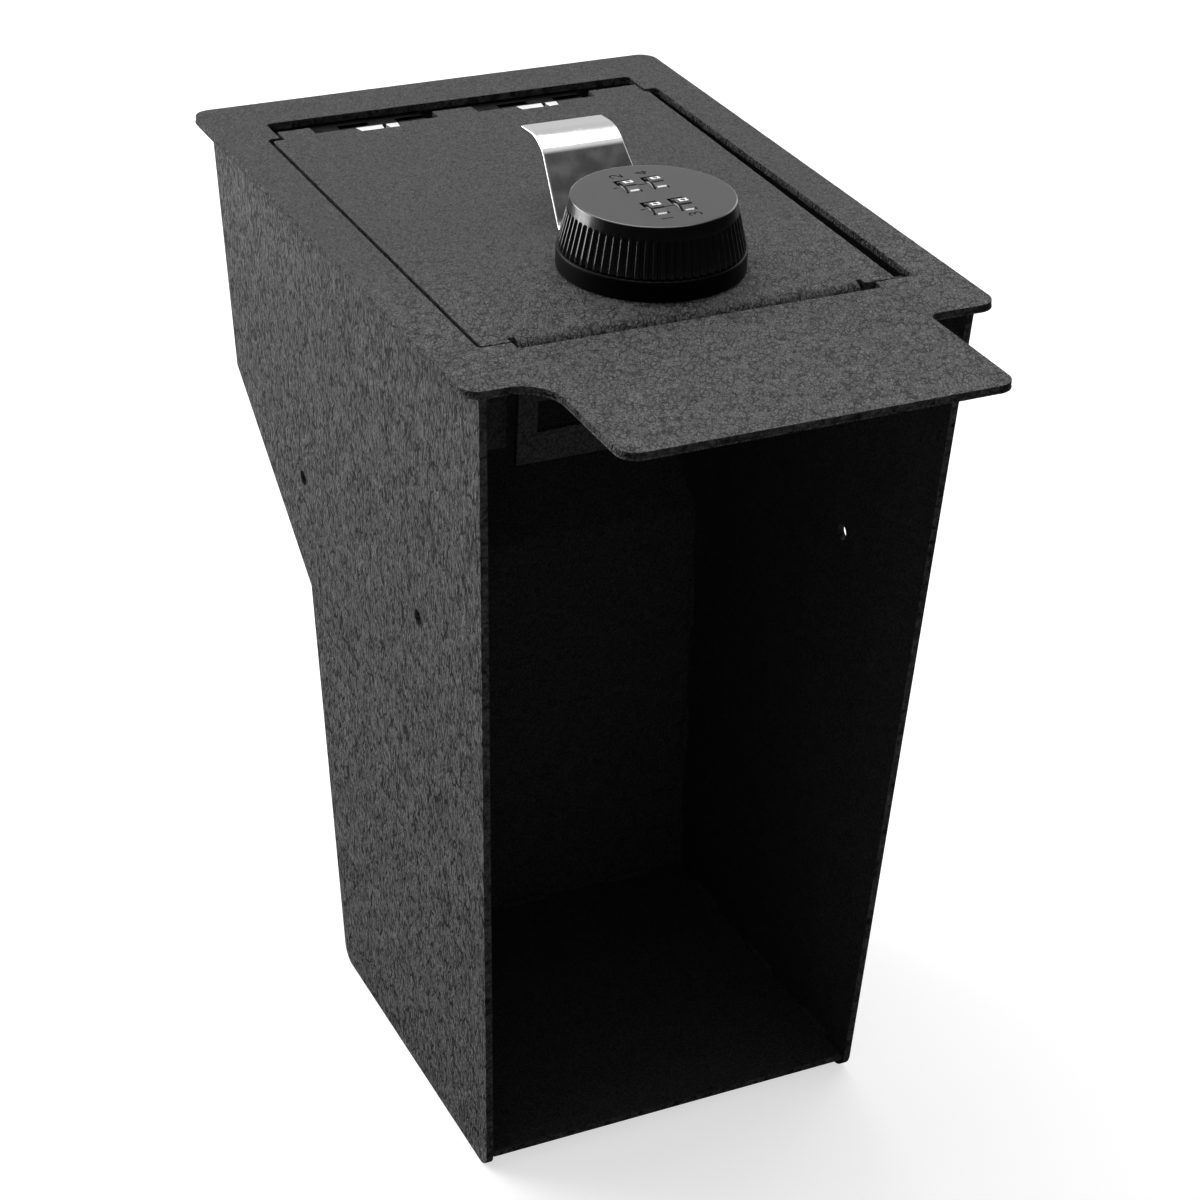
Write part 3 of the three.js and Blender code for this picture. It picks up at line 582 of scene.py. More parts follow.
# The top takes the coat; the underside, the flange and the cut edges take the darker copies, painted shade.
def lid_coat_and_shade(normal, middle):
    if normal.z > 0.5:
        return COAT
    return SHADED_INNER if normal.z < -0.5 or middle.z < FLANGE_TOP else SHADED_EDGE


round_edges(lid, COAT_ROUNDING)
roughen_edges(lid, reach=0.2, step=1)
piece("lid_sheet", lid, "lid", COATS, ["lid"], lid_coat_and_shade)

# Hinges. Two butt hinges under the sheets, drawn in a near-black metal, each leaf curled into two of the four
# knuckles round a peened pin, and riveted to its sheet from below. Two bare pads on each lid leaf show in the
# lid's notch, and the coat is chipped beside the right ones.
HINGE_MIDDLES = (("left", 53), ("right", 110))
HINGE_LENGTH = 40
HINGE_Y = 205.9
HINGE_Z = -5.3
KNUCKLE_RADIUS = 2.6
KNUCKLE_BORE = 1.6
KNUCKLE_GAP = 0.4
LEAF_NEAR = 3.4
LEAF_FAR = 18.4
LEAF_THICKNESS = 1.5
PIN_RADIUS = 1.3
RIVET_RADIUS = 2.1
RIVET_HEIGHT = 0.9
PAD_FRONT = 195.9
PAD_REAR = 199.6
PAD_LOW = -2.75
PAD_TOP = -0.25
PAD_TAPER = 0.6
PADS = ((-7.3, 1.9), (3.2, 7.4))
CHIP = [[92.6, 198.7], [102, 198.7], [101.6, 199.1], [93.2, 199.1]]
CHIP_SPAN = (-2.2, -0.2)
SCRATCH_DEPTH = 0.00002


def plated_metal(name, tint, rough, mottle, scratch):
    """Plated steel: a faintly mottled mirror with fine scratches, and a duller bloom in patches."""
    material, tree, shader = surface(name)
    shader.inputs["Metallic"].default_value = 1.0
    where = tree.nodes.new("ShaderNodeTexCoord").outputs["Object"]
    bloom = spread(tree, noise_at(tree, where, 160, 3), 0.35, 0.7)
    spangle = spread(tree, noise_at(tree, where, 900, 4, 0.7), 0.25, 0.75)
    dark = tuple(part * (1 - mottle) for part in tint) + (1,)
    tree.links.new(mixed(tree, "RGBA", spangle, dark, (*tint, 1)), shader.inputs["Base Color"])
    dull = mixed(tree, "FLOAT", bloom, rough, rough + 1.4 * mottle)
    tree.links.new(dull, shader.inputs["Roughness"])
    stretch = tree.nodes.new("ShaderNodeMapping")
    stretch.inputs["Scale"].default_value = (1.0, 0.06, 0.06)
    tree.links.new(where, stretch.inputs["Vector"])
    emboss(tree, shader, noise_at(tree, stretch.outputs["Vector"], 5200), scratch, SCRATCH_DEPTH)
    return material


zinc = plated_metal("zinc_plate", (0.62, 0.63, 0.64), 0.36, 0.07, 0.5)
bare_zinc = plated_metal("bare_zinc", (0.9, 0.9, 0.9), 0.3, 0.06, 0.5)
near_black_metal = plated_metal("near_black_metal", (0.004, 0.004, 0.004), 0.5, 0.2, 0.5)


def join(forms):
    """Joins closed forms that only touch into one."""
    joined = bmesh.new()
    for form in forms:
        step = bpy.data.meshes.new("step")
        form.to_mesh(step)
        form.free()
        joined.from_mesh(step)
        bpy.data.meshes.remove(step)
    return joined


def lathe(profile, axis_point, axis="Z", steps=64, wave=None):
    """A closed turned form through [radius, height] points. The axis runs up, or to the right for X."""
    form = bmesh.new()
    cx, cy, cz = axis_point
    rings = []
    for radius, height in profile:
        ring = []
        for i in range(1 if radius == 0 else steps):
            turn = 2 * math.pi * i / steps
            r = radius + (wave(turn, radius, height) if wave else 0)
            a, b = r * math.cos(turn), r * math.sin(turn)
            point = (cx + a, cy + b, cz + height) if axis == "Z" else (cx + height, cy + a, cz + b)
            ring.append(form.verts.new(place(*point)))
        rings.append(ring)
    for lower, upper in zip(rings, rings[1:] + ([] if profile[0][0] == 0 else rings[:1])):
        for i in range(steps):
            quad = [lower[i - 1 if len(lower) > 1 else 0], lower[i % len(lower)],
                    upper[i % len(upper)], upper[i - 1 if len(upper) > 1 else 0]]
            corners = list(dict.fromkeys(quad))
            if len(corners) > 2:
                form.faces.new(corners)
    bmesh.ops.recalc_face_normals(form, faces=form.faces)
    return form


def arc(centre, radius, first, last, steps):
    """Points along an arc, its angles in degrees."""
    angles = (math.radians(first + (last - first) * i / steps) for i in range(steps + 1))
    return [Vector((centre[0] + radius * math.cos(a), centre[1] + radius * math.sin(a))) for a in angles]


def across(profile, left, right):
    """A profile in Y and Z carried along X."""
    return sheet([profile], left, right, lambda y, z, x: place(x, y, z))


def hinge_leaf(middle, toward, first):
    """One leaf: the flat strip, its curled knuckles and three rivet heads."""
    left = middle - HINGE_LENGTH / 2
    pitch = (HINGE_LENGTH + KNUCKLE_GAP) / 4
    under = KNUCKLE_RADIUS - LEAF_THICKNESS

    def turned_over(points):
        return [Vector((HINGE_Y + toward * y, HINGE_Z + z)) for y, z in points]

    strip = across(turned_over([
        (LEAF_NEAR, under), (LEAF_FAR, under), (LEAF_FAR, KNUCKLE_RADIUS), (LEAF_NEAR, KNUCKLE_RADIUS),
    ]), left, left + HINGE_LENGTH)
    round_edges(strip, 0.2, steps=2)
    meet = math.degrees(math.asin(under / KNUCKLE_BORE))
    curl = turned_over(
        arc((0, 0), KNUCKLE_RADIUS, 90, 372, 30) + arc((0, 0), KNUCKLE_BORE, 372, meet, 24)
        + [(LEAF_NEAR, under), (LEAF_NEAR, KNUCKLE_RADIUS)]
    )
    forms = [strip]
    for i in (first, first + 2):
        knuckle = across(curl, left + i * pitch, left + (i + 1) * pitch - KNUCKLE_GAP)
        round_edges(knuckle, 0.15, sharp=60, steps=2)
        forms.append(knuckle)
    angles = [math.radians(degrees) for degrees in range(15, 91, 15)]
    dome = [(RIVET_RADIUS * math.sin(a), -RIVET_HEIGHT * math.cos(a)) for a in angles]
    head = [(0, -RIVET_HEIGHT), *dome, (RIVET_RADIUS, 0.1), (0, 0.1)]
    y = HINGE_Y + toward * (LEAF_NEAR + LEAF_FAR) / 2
    for share in (0.15, 0.5, 0.85):
        forms.append(lathe(head, (left + HINGE_LENGTH * share, y, HINGE_Z + under), steps=24))
    return join(forms)


for side, middle in HINGE_MIDDLES:
    for leaf, body, toward, first in (("frame", "case", 1, 0), ("lid", "lid", -1, 1)):
        piece(
            f"{side}_{leaf}_leaf", hinge_leaf(middle, toward, first), body, [near_black_metal],
            [f"{side}_hinge_{leaf}_leaf"],
        )
    pads = []
    for left, right in PADS:
        left, right = middle + left, middle + right
        front = [[left + PAD_TAPER, PAD_FRONT], [right - PAD_TAPER, PAD_FRONT]]
        pad = sheet([outline([*front, [right, PAD_REAR], [left, PAD_REAR]])], PAD_LOW, PAD_TOP)
        round_edges(pad, 0.2, steps=2)
        pads.append(pad)
    if side == "right":
        chip = sheet([outline(CHIP)], *CHIP_SPAN)
        round_edges(chip, 0.1, steps=1)
        pads.append(chip)
    piece(f"{side}_bare_pads", join(pads), "lid", [bare_zinc])
    half = HINGE_LENGTH / 2
    end = [(0, -half), (0.7, -half), (1.1, -half + 0.15), (PIN_RADIUS, -half + 0.45)]
    pin = end + [(radius, -height) for radius, height in reversed(end)]
    pin = lathe(pin, (middle, HINGE_Y, HINGE_Z), axis="X", steps=32)
    piece(f"{side}_peened_pin", pin, "case", [near_black_metal], [f"{side}_hinge_pin"])

# Finger pull. One strip of chrome-plated steel, clamped under the lock, that rises behind the knob and curls
# to the rear, narrowing from its foot to its free end. The plating is bright, with the faint waves of bent
# sheet.
KNOB_X = 85.6
KNOB_Y = 61.9
PULL_FOOT_WIDTH = 32
PULL_TOP_WIDTH = 27.2
PULL_THICKNESS = 1.2
PULL_LOW = 0.3
PULL_HEIGHT = 23
PULL_CREST = 23.36
PULL_END = 22.45
PULL_FRONT = KNOB_Y - 15
PULL_FOOT_REAR = KNOB_Y + 31.4
PULL_REAR = KNOB_Y + 65
PULL_RISE = 21.5
PULL_FOOT_BEND = 4
PULL_BEND = 12.5
BARREL_RADIUS = 9.5
BARREL_HOLE = BARREL_RADIUS + 0.3

chrome = plated_metal("chrome_plate", (0.66, 0.66, 0.67), 0.09, 0.05, 0.3)


def cut(form, tools):
    """Takes the tools' forms out of a form."""
    holders = []
    for name, part in [("form", form), *((f"tool_{i}", tool) for i, tool in enumerate(tools))]:
        mesh = bpy.data.meshes.new(name)
        part.to_mesh(mesh)
        part.free()
        holder = bpy.data.objects.new(name, mesh)
        bpy.context.scene.collection.objects.link(holder)
        holders.append(holder)
    for tool in holders[1:]:
        step = holders[0].modifiers.new("cut", "BOOLEAN")
        step.operation = "DIFFERENCE"
        step.solver = "EXACT"
        step.object = tool
    seen = holders[0].evaluated_get(bpy.context.evaluated_depsgraph_get())
    result = bmesh.new()
    result.from_mesh(seen.to_mesh())
    for holder in holders:
        mesh = holder.data
        bpy.data.objects.remove(holder)
        bpy.data.meshes.remove(mesh)
    return result


def slab(low, high):
    """A plain block between two drawn corners, used as a cutter."""
    (left, front, bottom), (right, rear, top) = low, high
    return sheet([[(left, front), (right, front), (right, rear), (left, rear)]], bottom, top)


def pull_half_width(z):
    """Half the strip's width, which narrows up to its upper bend."""
    top_bend = PULL_HEIGHT - PULL_THICKNESS - PULL_BEND * (1 - math.cos(math.pi / 4))
    return (PULL_FOOT_WIDTH + (PULL_TOP_WIDTH - PULL_FOOT_WIDTH) * min(1, z / top_bend)) / 2


foot_top = PULL_LOW + PULL_THICKNESS
rise_rear = PULL_FOOT_REAR + PULL_RISE
mitre = PULL_THICKNESS * math.tan(math.atan2(PULL_HEIGHT - foot_top, PULL_RISE) / 2)
pull_profile = outline([
    [PULL_FRONT, PULL_LOW],
    [PULL_FOOT_REAR, PULL_LOW, PULL_FOOT_BEND + PULL_THICKNESS],
    [rise_rear, PULL_CREST - PULL_THICKNESS, PULL_BEND],
    [PULL_REAR, PULL_END - PULL_THICKNESS],
    [PULL_REAR, PULL_END],
    [rise_rear - mitre, PULL_CREST, PULL_BEND + PULL_THICKNESS],
    [PULL_FOOT_REAR - mitre, foot_top, PULL_FOOT_BEND],
    [PULL_FRONT, foot_top],
], steps=20)
pull = sheet([pull_profile], -1, 1, lambda y, z, side: place(KNOB_X + side * pull_half_width(z), y, z))
round_edges(pull, 0.35)
pull = cut(pull, [sheet([circle(KNOB_X, KNOB_Y, BARREL_HOLE)], -1, 3)])
piece("bright_pull", pull, "lid", [chrome], ["finger_pull"])

# Knob base. A turned and polished black plastic ring that stands on the lid, with a web under it that the
# lock's barrel clamps down and a slot at the rear for the pull's foot.
BASE_RADIUS = 28.3
BASE_INNER = 26
BASE_HEIGHT = 6.5
BASE_ROUNDING = 0.8
WEB_LOW, WEB_HIGH = 1.8, 3.3
GRAIN_DEPTH = 0.00003


def moulded_plastic(name, level, rough, specular, grain):
    """Moulded plastic: an even colour with a satin grain, faint flow marks and lightly rubbed patches."""
    material, tree, shader = surface(name)
    shader.inputs["Specular IOR Level"].default_value = specular
    where = tree.nodes.new("ShaderNodeTexCoord").outputs["Object"]
    flow = mixed(tree, "RGBA", noise_at(tree, where, 60), grey(level * 0.8), grey(level * 1.25))
    tree.links.new(flow, shader.inputs["Base Color"])
    rubbed = spread(tree, noise_at(tree, where, 210, 4), 0.45, 0.7)
    tree.links.new(mixed(tree, "FLOAT", rubbed, rough, rough + 0.07), shader.inputs["Roughness"])
    emboss(tree, shader, noise_at(tree, where, 3800), grain, GRAIN_DEPTH)
    return material


knob_black = moulded_plastic("knob_black", 0.0045, 0.2, 0.66, 0.25)
# The recess plastic is darker than the knob's: painted shade in the wheel pockets and the engravings.
recess_painted_shade = moulded_plastic("recess_painted_shade", 0.002, 0.5, 0.1, 0.25)
# The ring's plastic is darker and duller than the knob's: painted shade under the knob's skirt.
ring_black_and_shade = moulded_plastic("ring_black_and_shade", 0.0015, 0.4, 0.06, 0.25)


def rounded_rim(radius, height, rounding):
    """A turned profile's rounded outer corner, from the side to the top."""
    return [
        (radius - rounding + rounding * math.cos(a), height - rounding + rounding * math.sin(a))
        for a in (math.radians(degrees) for degrees in range(0, 91, 15))
    ]


base_profile = [
    (BARREL_HOLE, WEB_LOW), (BASE_INNER, WEB_LOW), (BASE_INNER, 0.3), (BASE_RADIUS - 0.2, 0.3),
    (BASE_RADIUS, 0.5), *rounded_rim(BASE_RADIUS, BASE_HEIGHT, BASE_ROUNDING),
    (BASE_INNER + 0.2, BASE_HEIGHT), (BASE_INNER, BASE_HEIGHT - 0.2), (BASE_INNER, WEB_HIGH),
    (BARREL_HOLE, WEB_HIGH),
]
base = lathe(base_profile, (KNOB_X, KNOB_Y, 0), steps=144)
foot = PULL_FOOT_WIDTH / 2 + 0.3
base = cut(base, [slab((KNOB_X - foot, KNOB_Y, -1), (KNOB_X + foot, KNOB_Y + 40, WEB_LOW))])
piece("knob_ring", base, "lid", [ring_black_and_shade], ["knob_base"])

# Knob. A black plastic moulding on the lock's disc: a ribbed skirt whose grooves run out in round ends, a
# smooth band, and a flat top with four windows over the number wheels, and lines and index numbers engraved
# in it.
KNOB_LOW = 6.8
UNDERSIDE_RADIUS = 26
SKIRT_RADIUS = 28
SKIRT_TOP = 18.4
BAND_RADIUS = 25.2
TOP_RADIUS = 24.6
KNOB_TOP = 21.8
RIM_ROUNDING = 0.6
RIBS = 66
RIB_DEPTH = 0.8
GROOVE_SHARE = 0.84
FLANK_SHARE = 0.4
STEPS_PER_RIB = 12
WHEEL_RADIUS = 7.96
WHEEL_Z = 15
WHEEL_COLUMNS = (81.2, 90.0)
WHEEL_ROWS = (52.95, 70.85)
WINDOW_LEFT = 2.3
WINDOW_RIGHT = 3
POCKET_RADIUS = 8.45
POCKET_LOW = KNOB_LOW + 0.1
POCKET_REACH = 23.3
LINE_WIDTH = 0.5
INDEX_STROKE = 0.45
ENGRAVING_DEPTH = 0.35
ENGRAVED_FROM = KNOB_TOP - ENGRAVING_DEPTH
INDEX_FIGURES = {
    1: [[(0, -1.9), (0, 1.9)]],
    2: [[*arc((0, 0.75), 1.1, 165, -35, 14), (-1.1, -1.6)], [(-1.3, -1.7), (1.25, -1.7)]],
    3: [arc((0, 0.9), 0.95, 150, -90, 14), arc((0, -0.85), 1.05, 90, -150, 14)],
    4: [[(0.5, -1.9), (0.5, 1.9)], [(0.45, 1.8), (-1.15, -0.8)], [(-1.25, -0.85), (1.3, -0.85)]],
}
INDEX_PLACES = {1: (-4, -17.2), 2: (-4, 17.4), 3: (5, -17.2), 4: (4.4, 17.4)}


def groove(turn, radius, height):
    """How deep the skirt's grooves cut in at a turn and height, with a round end below the band."""
    if height >= SKIRT_TOP or (radius <= UNDERSIDE_RADIUS and height <= KNOB_LOW):
        return 0
    pitch = 2 * math.pi * radius / RIBS
    aside = ((turn * RIBS / (2 * math.pi)) % 1 - 0.5) * pitch
    half = GROOVE_SHARE * pitch / 2
    below_end = SKIRT_TOP - height
    gap = half - (abs(aside) if below_end > half else math.hypot(aside, half - below_end))
    share = max(0, min(1, gap / (FLANK_SHARE * pitch)))
    return -RIB_DEPTH * share * share * (3 - 2 * share)


skirt_heights = [KNOB_LOW + up for up in (0, 0.12, 0.3, 2, 4, 6, 8)]
skirt_heights += [SKIRT_TOP - 2.2 + i * 0.2 for i in range(12)]
skirt = []
for z in skirt_heights:
    rise = (z - KNOB_LOW) / (SKIRT_TOP - KNOB_LOW)
    lip = max(0, 0.3 - (z - KNOB_LOW)) ** 2 / 0.3
    skirt.append((SKIRT_RADIUS + (BAND_RADIUS - SKIRT_RADIUS) * rise - lip, z))
knob_profile = [
    (0, KNOB_LOW), (UNDERSIDE_RADIUS, KNOB_LOW), *skirt, *rounded_rim(TOP_RADIUS, KNOB_TOP, RIM_ROUNDING),
    (TOP_RADIUS - 1.2, KNOB_TOP), (0, KNOB_TOP),
]
knob = lathe(knob_profile, (KNOB_X, KNOB_Y, 0), steps=RIBS * STEPS_PER_RIB, wave=groove)


def stroke(points, width):
    """The outline of a stroke of one width along a path."""
    points = [Vector(point) for point in points]
    sides = ([], [])
    for i, point in enumerate(points):
        back = (point - points[max(i - 1, 0)]).normalized()
        on = (points[min(i + 1, len(points) - 1)] - point).normalized()
        along = (back + on).normalized()
        out = Vector((-along.y, along.x)) * width / 2 / max(0.5, along.dot(on if i == 0 else back))
        sides[0].append(point + out)
        sides[1].append(point - out)
    return sides[0] + sides[1][::-1]


tools = []
first, last = WHEEL_COLUMNS
lines = (
    (first - WINDOW_LEFT - 1.9, first - WINDOW_LEFT - 0.5),
    (first + WINDOW_RIGHT - 0.1, last - WINDOW_LEFT + 0.1),
)
for y in WHEEL_ROWS:
    for x in WHEEL_COLUMNS:
        pocket = arc((y, WHEEL_Z), POCKET_RADIUS, 0, 180, 40)
        pocket += [Vector((y - POCKET_RADIUS, POCKET_LOW)), Vector((y + POCKET_RADIUS, POCKET_LOW))]
        tools.append(across(pocket, x - WINDOW_LEFT, x + WINDOW_RIGHT))
    for left, right in lines:
        front, rear = y - LINE_WIDTH / 2, y + LINE_WIDTH / 2
        tools.append(slab((left, front, ENGRAVED_FROM), (right, rear, KNOB_TOP + 1)))
for figure, paths in INDEX_FIGURES.items():
    x, y = INDEX_PLACES[figure]
    for path in paths:
        lying = [Vector((KNOB_X + x - v, KNOB_Y + y + u)) for u, v in stroke(path, INDEX_STROKE)]
        tools.append(sheet([lying], ENGRAVED_FROM, KNOB_TOP + 1))
knob = cut(knob, tools)
knob_middle = place(KNOB_X, KNOB_Y, 0) / MM


# Faces sunk in the wheel pockets and the engravings take the darker plastic, painted shade.
def knob_recess_shade(_, middle):
    aside = math.hypot(middle.x - knob_middle.x, middle.y - knob_middle.y)
    height = middle.z - CASE_HEIGHT
    return 1 if POCKET_LOW < height < KNOB_TOP - 0.02 and aside < POCKET_REACH else 0


piece("knob_cap", knob, "knob", [knob_black, recess_painted_shade], ["knob"], knob_recess_shade)

# Number wheels. Four drums with a pale core and a black sleeve, each moulded with ten flats parted by grooves
# and marked 0 to 9 in white. The figures are read from the knob's right, so they lie on their sides from the
# front.
WHEEL_WIDTH = 4.1
WHEEL_BORE = 1.5
SLEEVE = 1.0
FIGURE_HEIGHT = 2.8
FIGURE_WIDTH = 2.2
STROKE = 0.6
PAINT_SUNK, PAINT_PROUD = 0.06, 0.035
FIGURE_TURN = math.radians(36)
FLUTE_DEPTH = 0.3
FLUTE_HALF = 0.34
ZERO_AT = (3, 7)
SEGMENTS = {
    "top": (0, 1, 1, 1), "middle": (0, 0.5, 1, 0.5), "bottom": (0, 0, 1, 0), "upper left": (0, 0.5, 0, 1),
    "upper right": (1, 0.5, 1, 1), "lower left": (0, 0, 0, 0.5), "lower right": (1, 0, 1, 0.5),
    "stem": (0.5, 0, 0.5, 1),
}
FIGURES = {
    0: "top|bottom|upper left|upper right|lower left|lower right", 1: "stem",
    2: "top|upper right|middle|lower left|bottom", 3: "top|upper right|middle|lower right|bottom",
    4: "upper left|middle|upper right|lower right", 5: "top|upper left|middle|lower right|bottom",
    6: "top|upper left|middle|lower left|lower right|bottom", 7: "top|upper right|lower right",
    8: "top|middle|bottom|upper left|upper right|lower left|lower right",
    9: "top|upper left|upper right|middle|lower right|bottom",
}
wheel_black = moulded_plastic("wheel_black", 0.014, 0.24, 0.5, 0.3)
wheel_core = moulded_plastic("wheel_core", 0.5, 0.4, 0.5, 0.3)
figure_white = moulded_plastic("figure_white", 0.86, 0.45, 0.4, 0.2)


def wheel_form(x, y, zero):
    """One drum with its right side at x, and a shallow groove between each two figures."""
    left, right = x - WHEEL_WIDTH, x
    inner = WHEEL_RADIUS - SLEEVE
    profile = [
        (WHEEL_BORE, left + 0.25), (3, left + 0.25), (3.3, left + 0.1), (inner - 0.25, left + 0.1),
        (inner, left + 0.3), (inner + 0.05, left), (WHEEL_RADIUS - 0.15, left), (WHEEL_RADIUS, left + 0.15),
        (WHEEL_RADIUS, right - 0.15), (WHEEL_RADIUS - 0.15, right), (inner + 0.05, right),
        (inner, right - 0.2), (WHEEL_BORE, right - 0.2),
    ]

    def grooves(turn, radius, _):
        if radius < WHEEL_RADIUS - 0.2:
            return 0
        from_zero = (math.pi / 2 - turn - math.radians(zero)) / FIGURE_TURN
        aside = abs(from_zero % 1 - 0.5) * FIGURE_TURN * WHEEL_RADIUS
        return -FLUTE_DEPTH * max(0, 1 - aside / FLUTE_HALF)

    return lathe(profile, (0, y, WHEEL_Z), axis="X", steps=200, wave=grooves)


def span(first, last, size):
    """The low and high end of a stroke between two shares of a figure's size."""
    low, high = sorted((first, last))
    size -= STROKE
    return (low - 0.5) * size - STROKE / 2, (high - 0.5) * size + STROKE / 2


def figure_form(number, x, y, zero):
    """A figure's strokes, as thin paint bent round the drum at x, whose 0 leans back by zero degrees."""
    form = bmesh.new()
    centre = math.radians(zero - 36 * number)
    sunk, proud = WHEEL_RADIUS - PAINT_SUNK, WHEEL_RADIUS + PAINT_PROUD
    for segment in FIGURES[number].split("|"):
        u1, v1, u2, v2 = SEGMENTS[segment]
        low_u, high_u = span(u1, u2, FIGURE_WIDTH)
        low_v, high_v = span(v1, v2, FIGURE_HEIGHT)
        pieces = 6
        rims = []
        for i in range(pieces + 1):
            angle = centre + (low_u + (high_u - low_u) * i / pieces) / WHEEL_RADIUS
            rims.append([
                form.verts.new(place(x - v, y + r * math.sin(angle), WHEEL_Z + r * math.cos(angle)))
                for v, r in ((low_v, sunk), (high_v, sunk), (high_v, proud), (low_v, proud))
            ])
        for one, two in zip(rims, rims[1:]):
            for k in range(4):
                form.faces.new((one[k - 1], one[k], two[k], two[k - 1]))
        form.faces.new(rims[0])
        form.faces.new(rims[-1])
    bmesh.ops.recalc_face_normals(form, faces=form.faces)
    return form


core_radius = (WHEEL_RADIUS - SLEEVE + 0.03) * MM
for number, (column, row) in enumerate(((0, 0), (0, 1), (1, 0), (1, 1)), 1):
    right = WHEEL_COLUMNS[column] + WINDOW_RIGHT - 0.3
    y = WHEEL_ROWS[row]
    zero = ZERO_AT[row]

    def sleeve_or_core(_, middle, hub=place(right, y, WHEEL_Z)):
        return 1 if math.hypot(middle.y * MM - hub.y, middle.z * MM - hub.z) < core_radius else 0

    piece(
        f"drum_{number}", wheel_form(right, y, zero), f"wheel_{number}", [wheel_black, wheel_core],
        [f"wheel_{number}"], sleeve_or_core,
    )
    figures = join([figure_form(n, right - WHEEL_WIDTH / 2 + 0.1, y, zero) for n in range(10)])
    piece(f"figures_{number}", figures, f"wheel_{number}", [figure_white])

# Lock. A threaded barrel through the lid with its washer and chamfered nut, and in it the spindle with the
# crank cam and its screw, all zinc-plated. The spindle's disc and the wheels' axles stay as packed, and only
# get the plating.
for name in ("spindle", "wheel_axle_front", "wheel_axle_rear"):
    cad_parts[name].material_slots[0].material = zinc

THREAD_PITCH = 1.25
THREAD_DEPTH = 0.55
BARREL_LOW, BARREL_HEAD = -15.4, 3.6
BARREL_BORE = 4.3
WASHER_RADIUS = 15
WASHER_SPAN = (-3.9, -2.7)
NUT_WIDTH = 24
NUT_SPAN = (-10.2, -4.2)
barrel_length = BARREL_HEAD - BARREL_LOW
rows = round(barrel_length / THREAD_PITCH * 8)
barrel_profile = [
    (BARREL_BORE, BARREL_LOW), (8.7, BARREL_LOW),
    *((BARREL_RADIUS, BARREL_LOW + 0.7 + (barrel_length - 0.9) * i / rows) for i in range(rows + 1)),
    (BARREL_RADIUS, BARREL_HEAD), (13.2, BARREL_HEAD), (13.5, BARREL_HEAD + 0.3), (13.5, BARREL_HEAD + 1),
    (13.2, BARREL_HEAD + 1.3), (BARREL_BORE, BARREL_HEAD + 1.3),
]


def thread(turn, radius, height):
    """How deep the barrel's thread cuts in at a turn and height."""
    if radius != BARREL_RADIUS or height >= BARREL_HEAD:
        return 0
    along = (height / THREAD_PITCH - turn / (2 * math.pi)) % 1
    return -THREAD_DEPTH * (1 - abs(2 * along - 1))


barrel = lathe(barrel_profile, (KNOB_X, KNOB_Y, 0), steps=64, wave=thread)
piece("threaded_barrel", barrel, "lid", [zinc], ["lock_barrel"])
hole = circle(KNOB_X, KNOB_Y, BARREL_HOLE)
washer = sheet([circle(KNOB_X, KNOB_Y, WASHER_RADIUS, 72), hole], *WASHER_SPAN)
round_edges(washer, 0.25, steps=2)
piece("plain_washer", washer, "lid", [zinc], ["lock_washer"])

hexagon = circle(KNOB_X, KNOB_Y, NUT_WIDTH / math.sqrt(3), 6)
nut = sheet([hexagon, hole], *NUT_SPAN)
chamfer = lathe(
    [(12.2, -11), (12.2, -10.2), (13.9, -9.3), (13.9, -5.1), (12.2, -4.2), (12.2, -3), (16, -3), (16, -11)],
    (KNOB_X, KNOB_Y, 0), steps=96,
)
piece("chamfered_nut", cut(nut, [chamfer]), "lid", [zinc], ["lock_nut"])

for node, name, width in (("cam", "crank_cam", 0.3), ("cam_screw", "pan_screw", 0.35)):
    part = copy_of(node)
    round_edges(part, width, steps=2)
    piece(name, part, "knob", [zinc], [node])

# Locking bar and guides. A flat zinc-plated bar, cut from strip, that slides in two folded channels under the
# lid. The cam's pin moves it forward through the flange's window.
bar = copy_of("locking_bar")
round_edges(bar, 0.4, steps=2)
piece("flat_bar", bar, "bar", [zinc], ["locking_bar"])
for side in ("left", "right"):
    channel = copy_of(f"guide_{side}")
    round_edges(channel, 0.35, steps=2)
    piece(f"{side}_channel", channel, "lid", [zinc], [f"guide_{side}"])

# Floor. A wide sheet of pale studio paper under the safe, with a soft shadow on it. To the eye it is white,
# and in mirrors it fades to black towards the front of the room.
UNLIT_FROM, UNLIT_TO = 0.9, 0.45
PAPER_GLOW = 0.62


def light_path_share(tree):
    """1 for what the camera, a mirror or glass sees, and 0 for light that only falls on things."""
    path = tree.nodes.new("ShaderNodeLightPath")
    share = path.outputs["Is Camera Ray"]
    for other in ("Is Glossy Ray", "Is Transmission Ray"):
        share = worked_out(tree, "MAXIMUM", share, path.outputs[other])
    return share


paper, tree, paper_shader = surface("studio_paper")
paper_shader.inputs["Roughness"].default_value = 0.9
paper_shader.inputs["Specular IOR Level"].default_value = 0.1
paper_place = tree.nodes.new("ShaderNodeTexCoord").outputs["Object"]
fibre = noise_at(tree, paper_place, 300, 3)
places = tree.nodes.new("ShaderNodeSeparateXYZ")
tree.links.new(paper_place, places.inputs["Vector"])
in_mirror = tree.nodes.new("ShaderNodeLightPath").outputs["Is Glossy Ray"]
unlit = mixed(tree, "FLOAT", in_mirror, 0.0, spread(tree, places.outputs["Y"], UNLIT_FROM, UNLIT_TO))
pale = mixed(tree, "RGBA", fibre, grey(0.5), grey(0.52))
tree.links.new(mixed(tree, "RGBA", unlit, pale, grey(0.01)), paper_shader.inputs["Base Color"])
paper_shader.inputs["Emission Color"].default_value = (1, 1, 1, 1)
glow = mixed(tree, "FLOAT", unlit, PAPER_GLOW, 0.0)
shown_glow = mixed(tree, "FLOAT", light_path_share(tree), 0.0, glow)
tree.links.new(shown_glow, paper_shader.inputs["Emission Strength"])
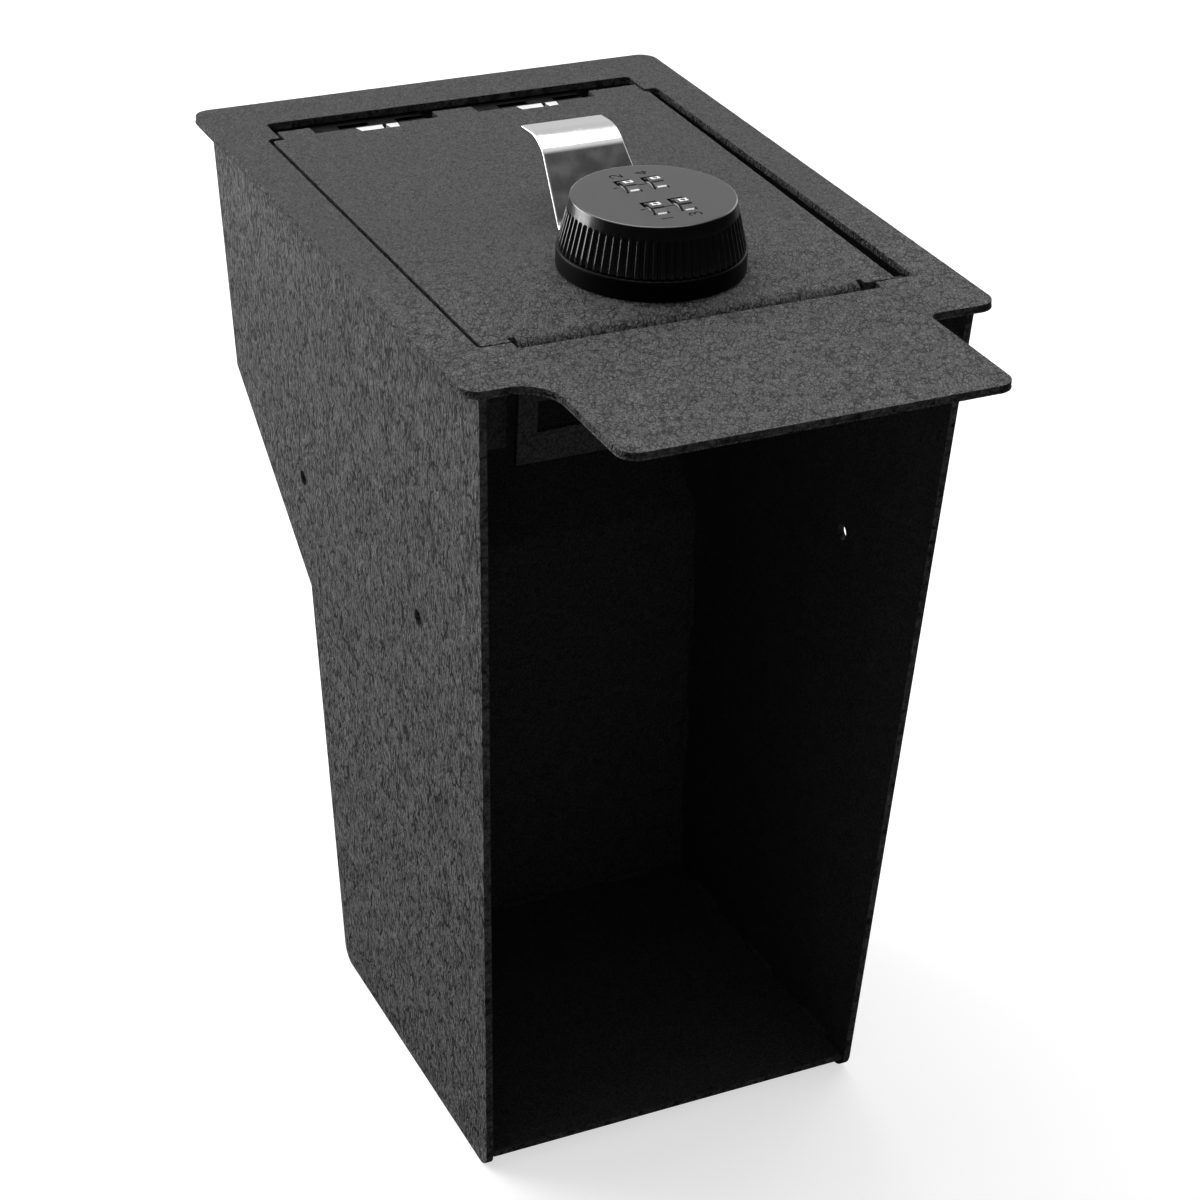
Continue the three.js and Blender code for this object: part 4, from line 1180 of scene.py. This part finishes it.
floor_form = bmesh.new()
bmesh.ops.create_circle(floor_form, cap_ends=True, segments=96, radius=9)
floor_mesh = bpy.data.meshes.new("studio_floor")
floor_form.to_mesh(floor_mesh)
floor_form.free()
floor_mesh.materials.append(paper)
studio_floor = bpy.data.objects.new("studio_floor", floor_mesh)
studio_floor.location.z = -0.0002
bpy.context.scene.collection.objects.link(studio_floor)

# Light. Three large soft lamps, above and at both sides towards the rear, in a white room. Mirrors see the
# room bright overhead and at the rear, and dark at the front.
ROOM_LIGHT = 0.25
FRONT_WALL = (grey(0.02), grey(0.06))
REAR_WALL = grey(0.8)
WHITE = grey(1)
SAFE_MIDDLE = Vector((0, 0, 0.2))
LAMPS = (
    ("overhead", (-0.1, 0.5, 1.65), 1.6, 27.5),
    ("left", (-1.25, 1.3, 0.5), 1.3, 42),
    ("right", (1.5, 0.7, 0.9), 1.2, 9),
)

world = bpy.data.worlds.new("white_room")
world.use_nodes = True
bpy.context.scene.world = world
tree = world.node_tree
background = tree.nodes["Background"]
part_ways = tree.nodes.new("ShaderNodeSeparateXYZ")
tree.links.new(tree.nodes.new("ShaderNodeTexCoord").outputs["Generated"], part_ways.inputs["Vector"])
rearward, upward = part_ways.outputs["Y"], part_ways.outputs["Z"]
front_wall = mixed(tree, "RGBA", spread(tree, upward, 0.25, 0.85), *FRONT_WALL)
low_room = mixed(tree, "RGBA", spread(tree, rearward, 0.3, 0.62), front_wall, REAR_WALL)
overhead = worked_out(tree, "MULTIPLY_ADD", rearward, 0.2, upward)
room = mixed(tree, "RGBA", spread(tree, overhead, 0.76, 0.87), low_room, WHITE)
in_mirror = tree.nodes.new("ShaderNodeLightPath").outputs["Is Glossy Ray"]
tree.links.new(mixed(tree, "RGBA", in_mirror, WHITE, room), background.inputs["Color"])
strength = mixed(tree, "FLOAT", light_path_share(tree), ROOM_LIGHT, 1.0)
tree.links.new(strength, background.inputs["Strength"])

for name, at, size, watts in LAMPS:
    lamp = bpy.data.lights.new(name, "AREA")
    lamp.shape = "RECTANGLE"
    lamp.size = lamp.size_y = size
    lamp.energy = watts
    stand = bpy.data.objects.new(f"{name}_lamp", lamp)
    stand.location = at
    stand.rotation_euler = (SAFE_MIDDLE - Vector(at)).to_track_quat("-Z", "Y").to_euler()
    bpy.context.scene.collection.objects.link(stand)

# Camera. It looks down from the front left with a long lens, as the photograph does, and keeps all of the
# safe sharp.
LENS = 89.91
CAMERA_PLACE = (-0.3686, -0.7601, 0.6336)
HEADING, TILT, ROLL = -26.05, 60.65, 1.87

camera = bpy.data.cameras.new("camera")
camera.sensor_width = 36
camera.lens = LENS
camera_stand = bpy.data.objects.new("camera", camera)
seen_from = Matrix.Translation(CAMERA_PLACE)
for angle, axis in ((HEADING, "Z"), (TILT, "X"), (ROLL, "Z")):
    seen_from = seen_from @ Matrix.Rotation(math.radians(angle), 4, axis)
camera_stand.matrix_world = seen_from
bpy.context.scene.collection.objects.link(camera_stand)
bpy.context.scene.camera = camera_stand
bpy.context.scene.view_settings.view_transform = "Standard"
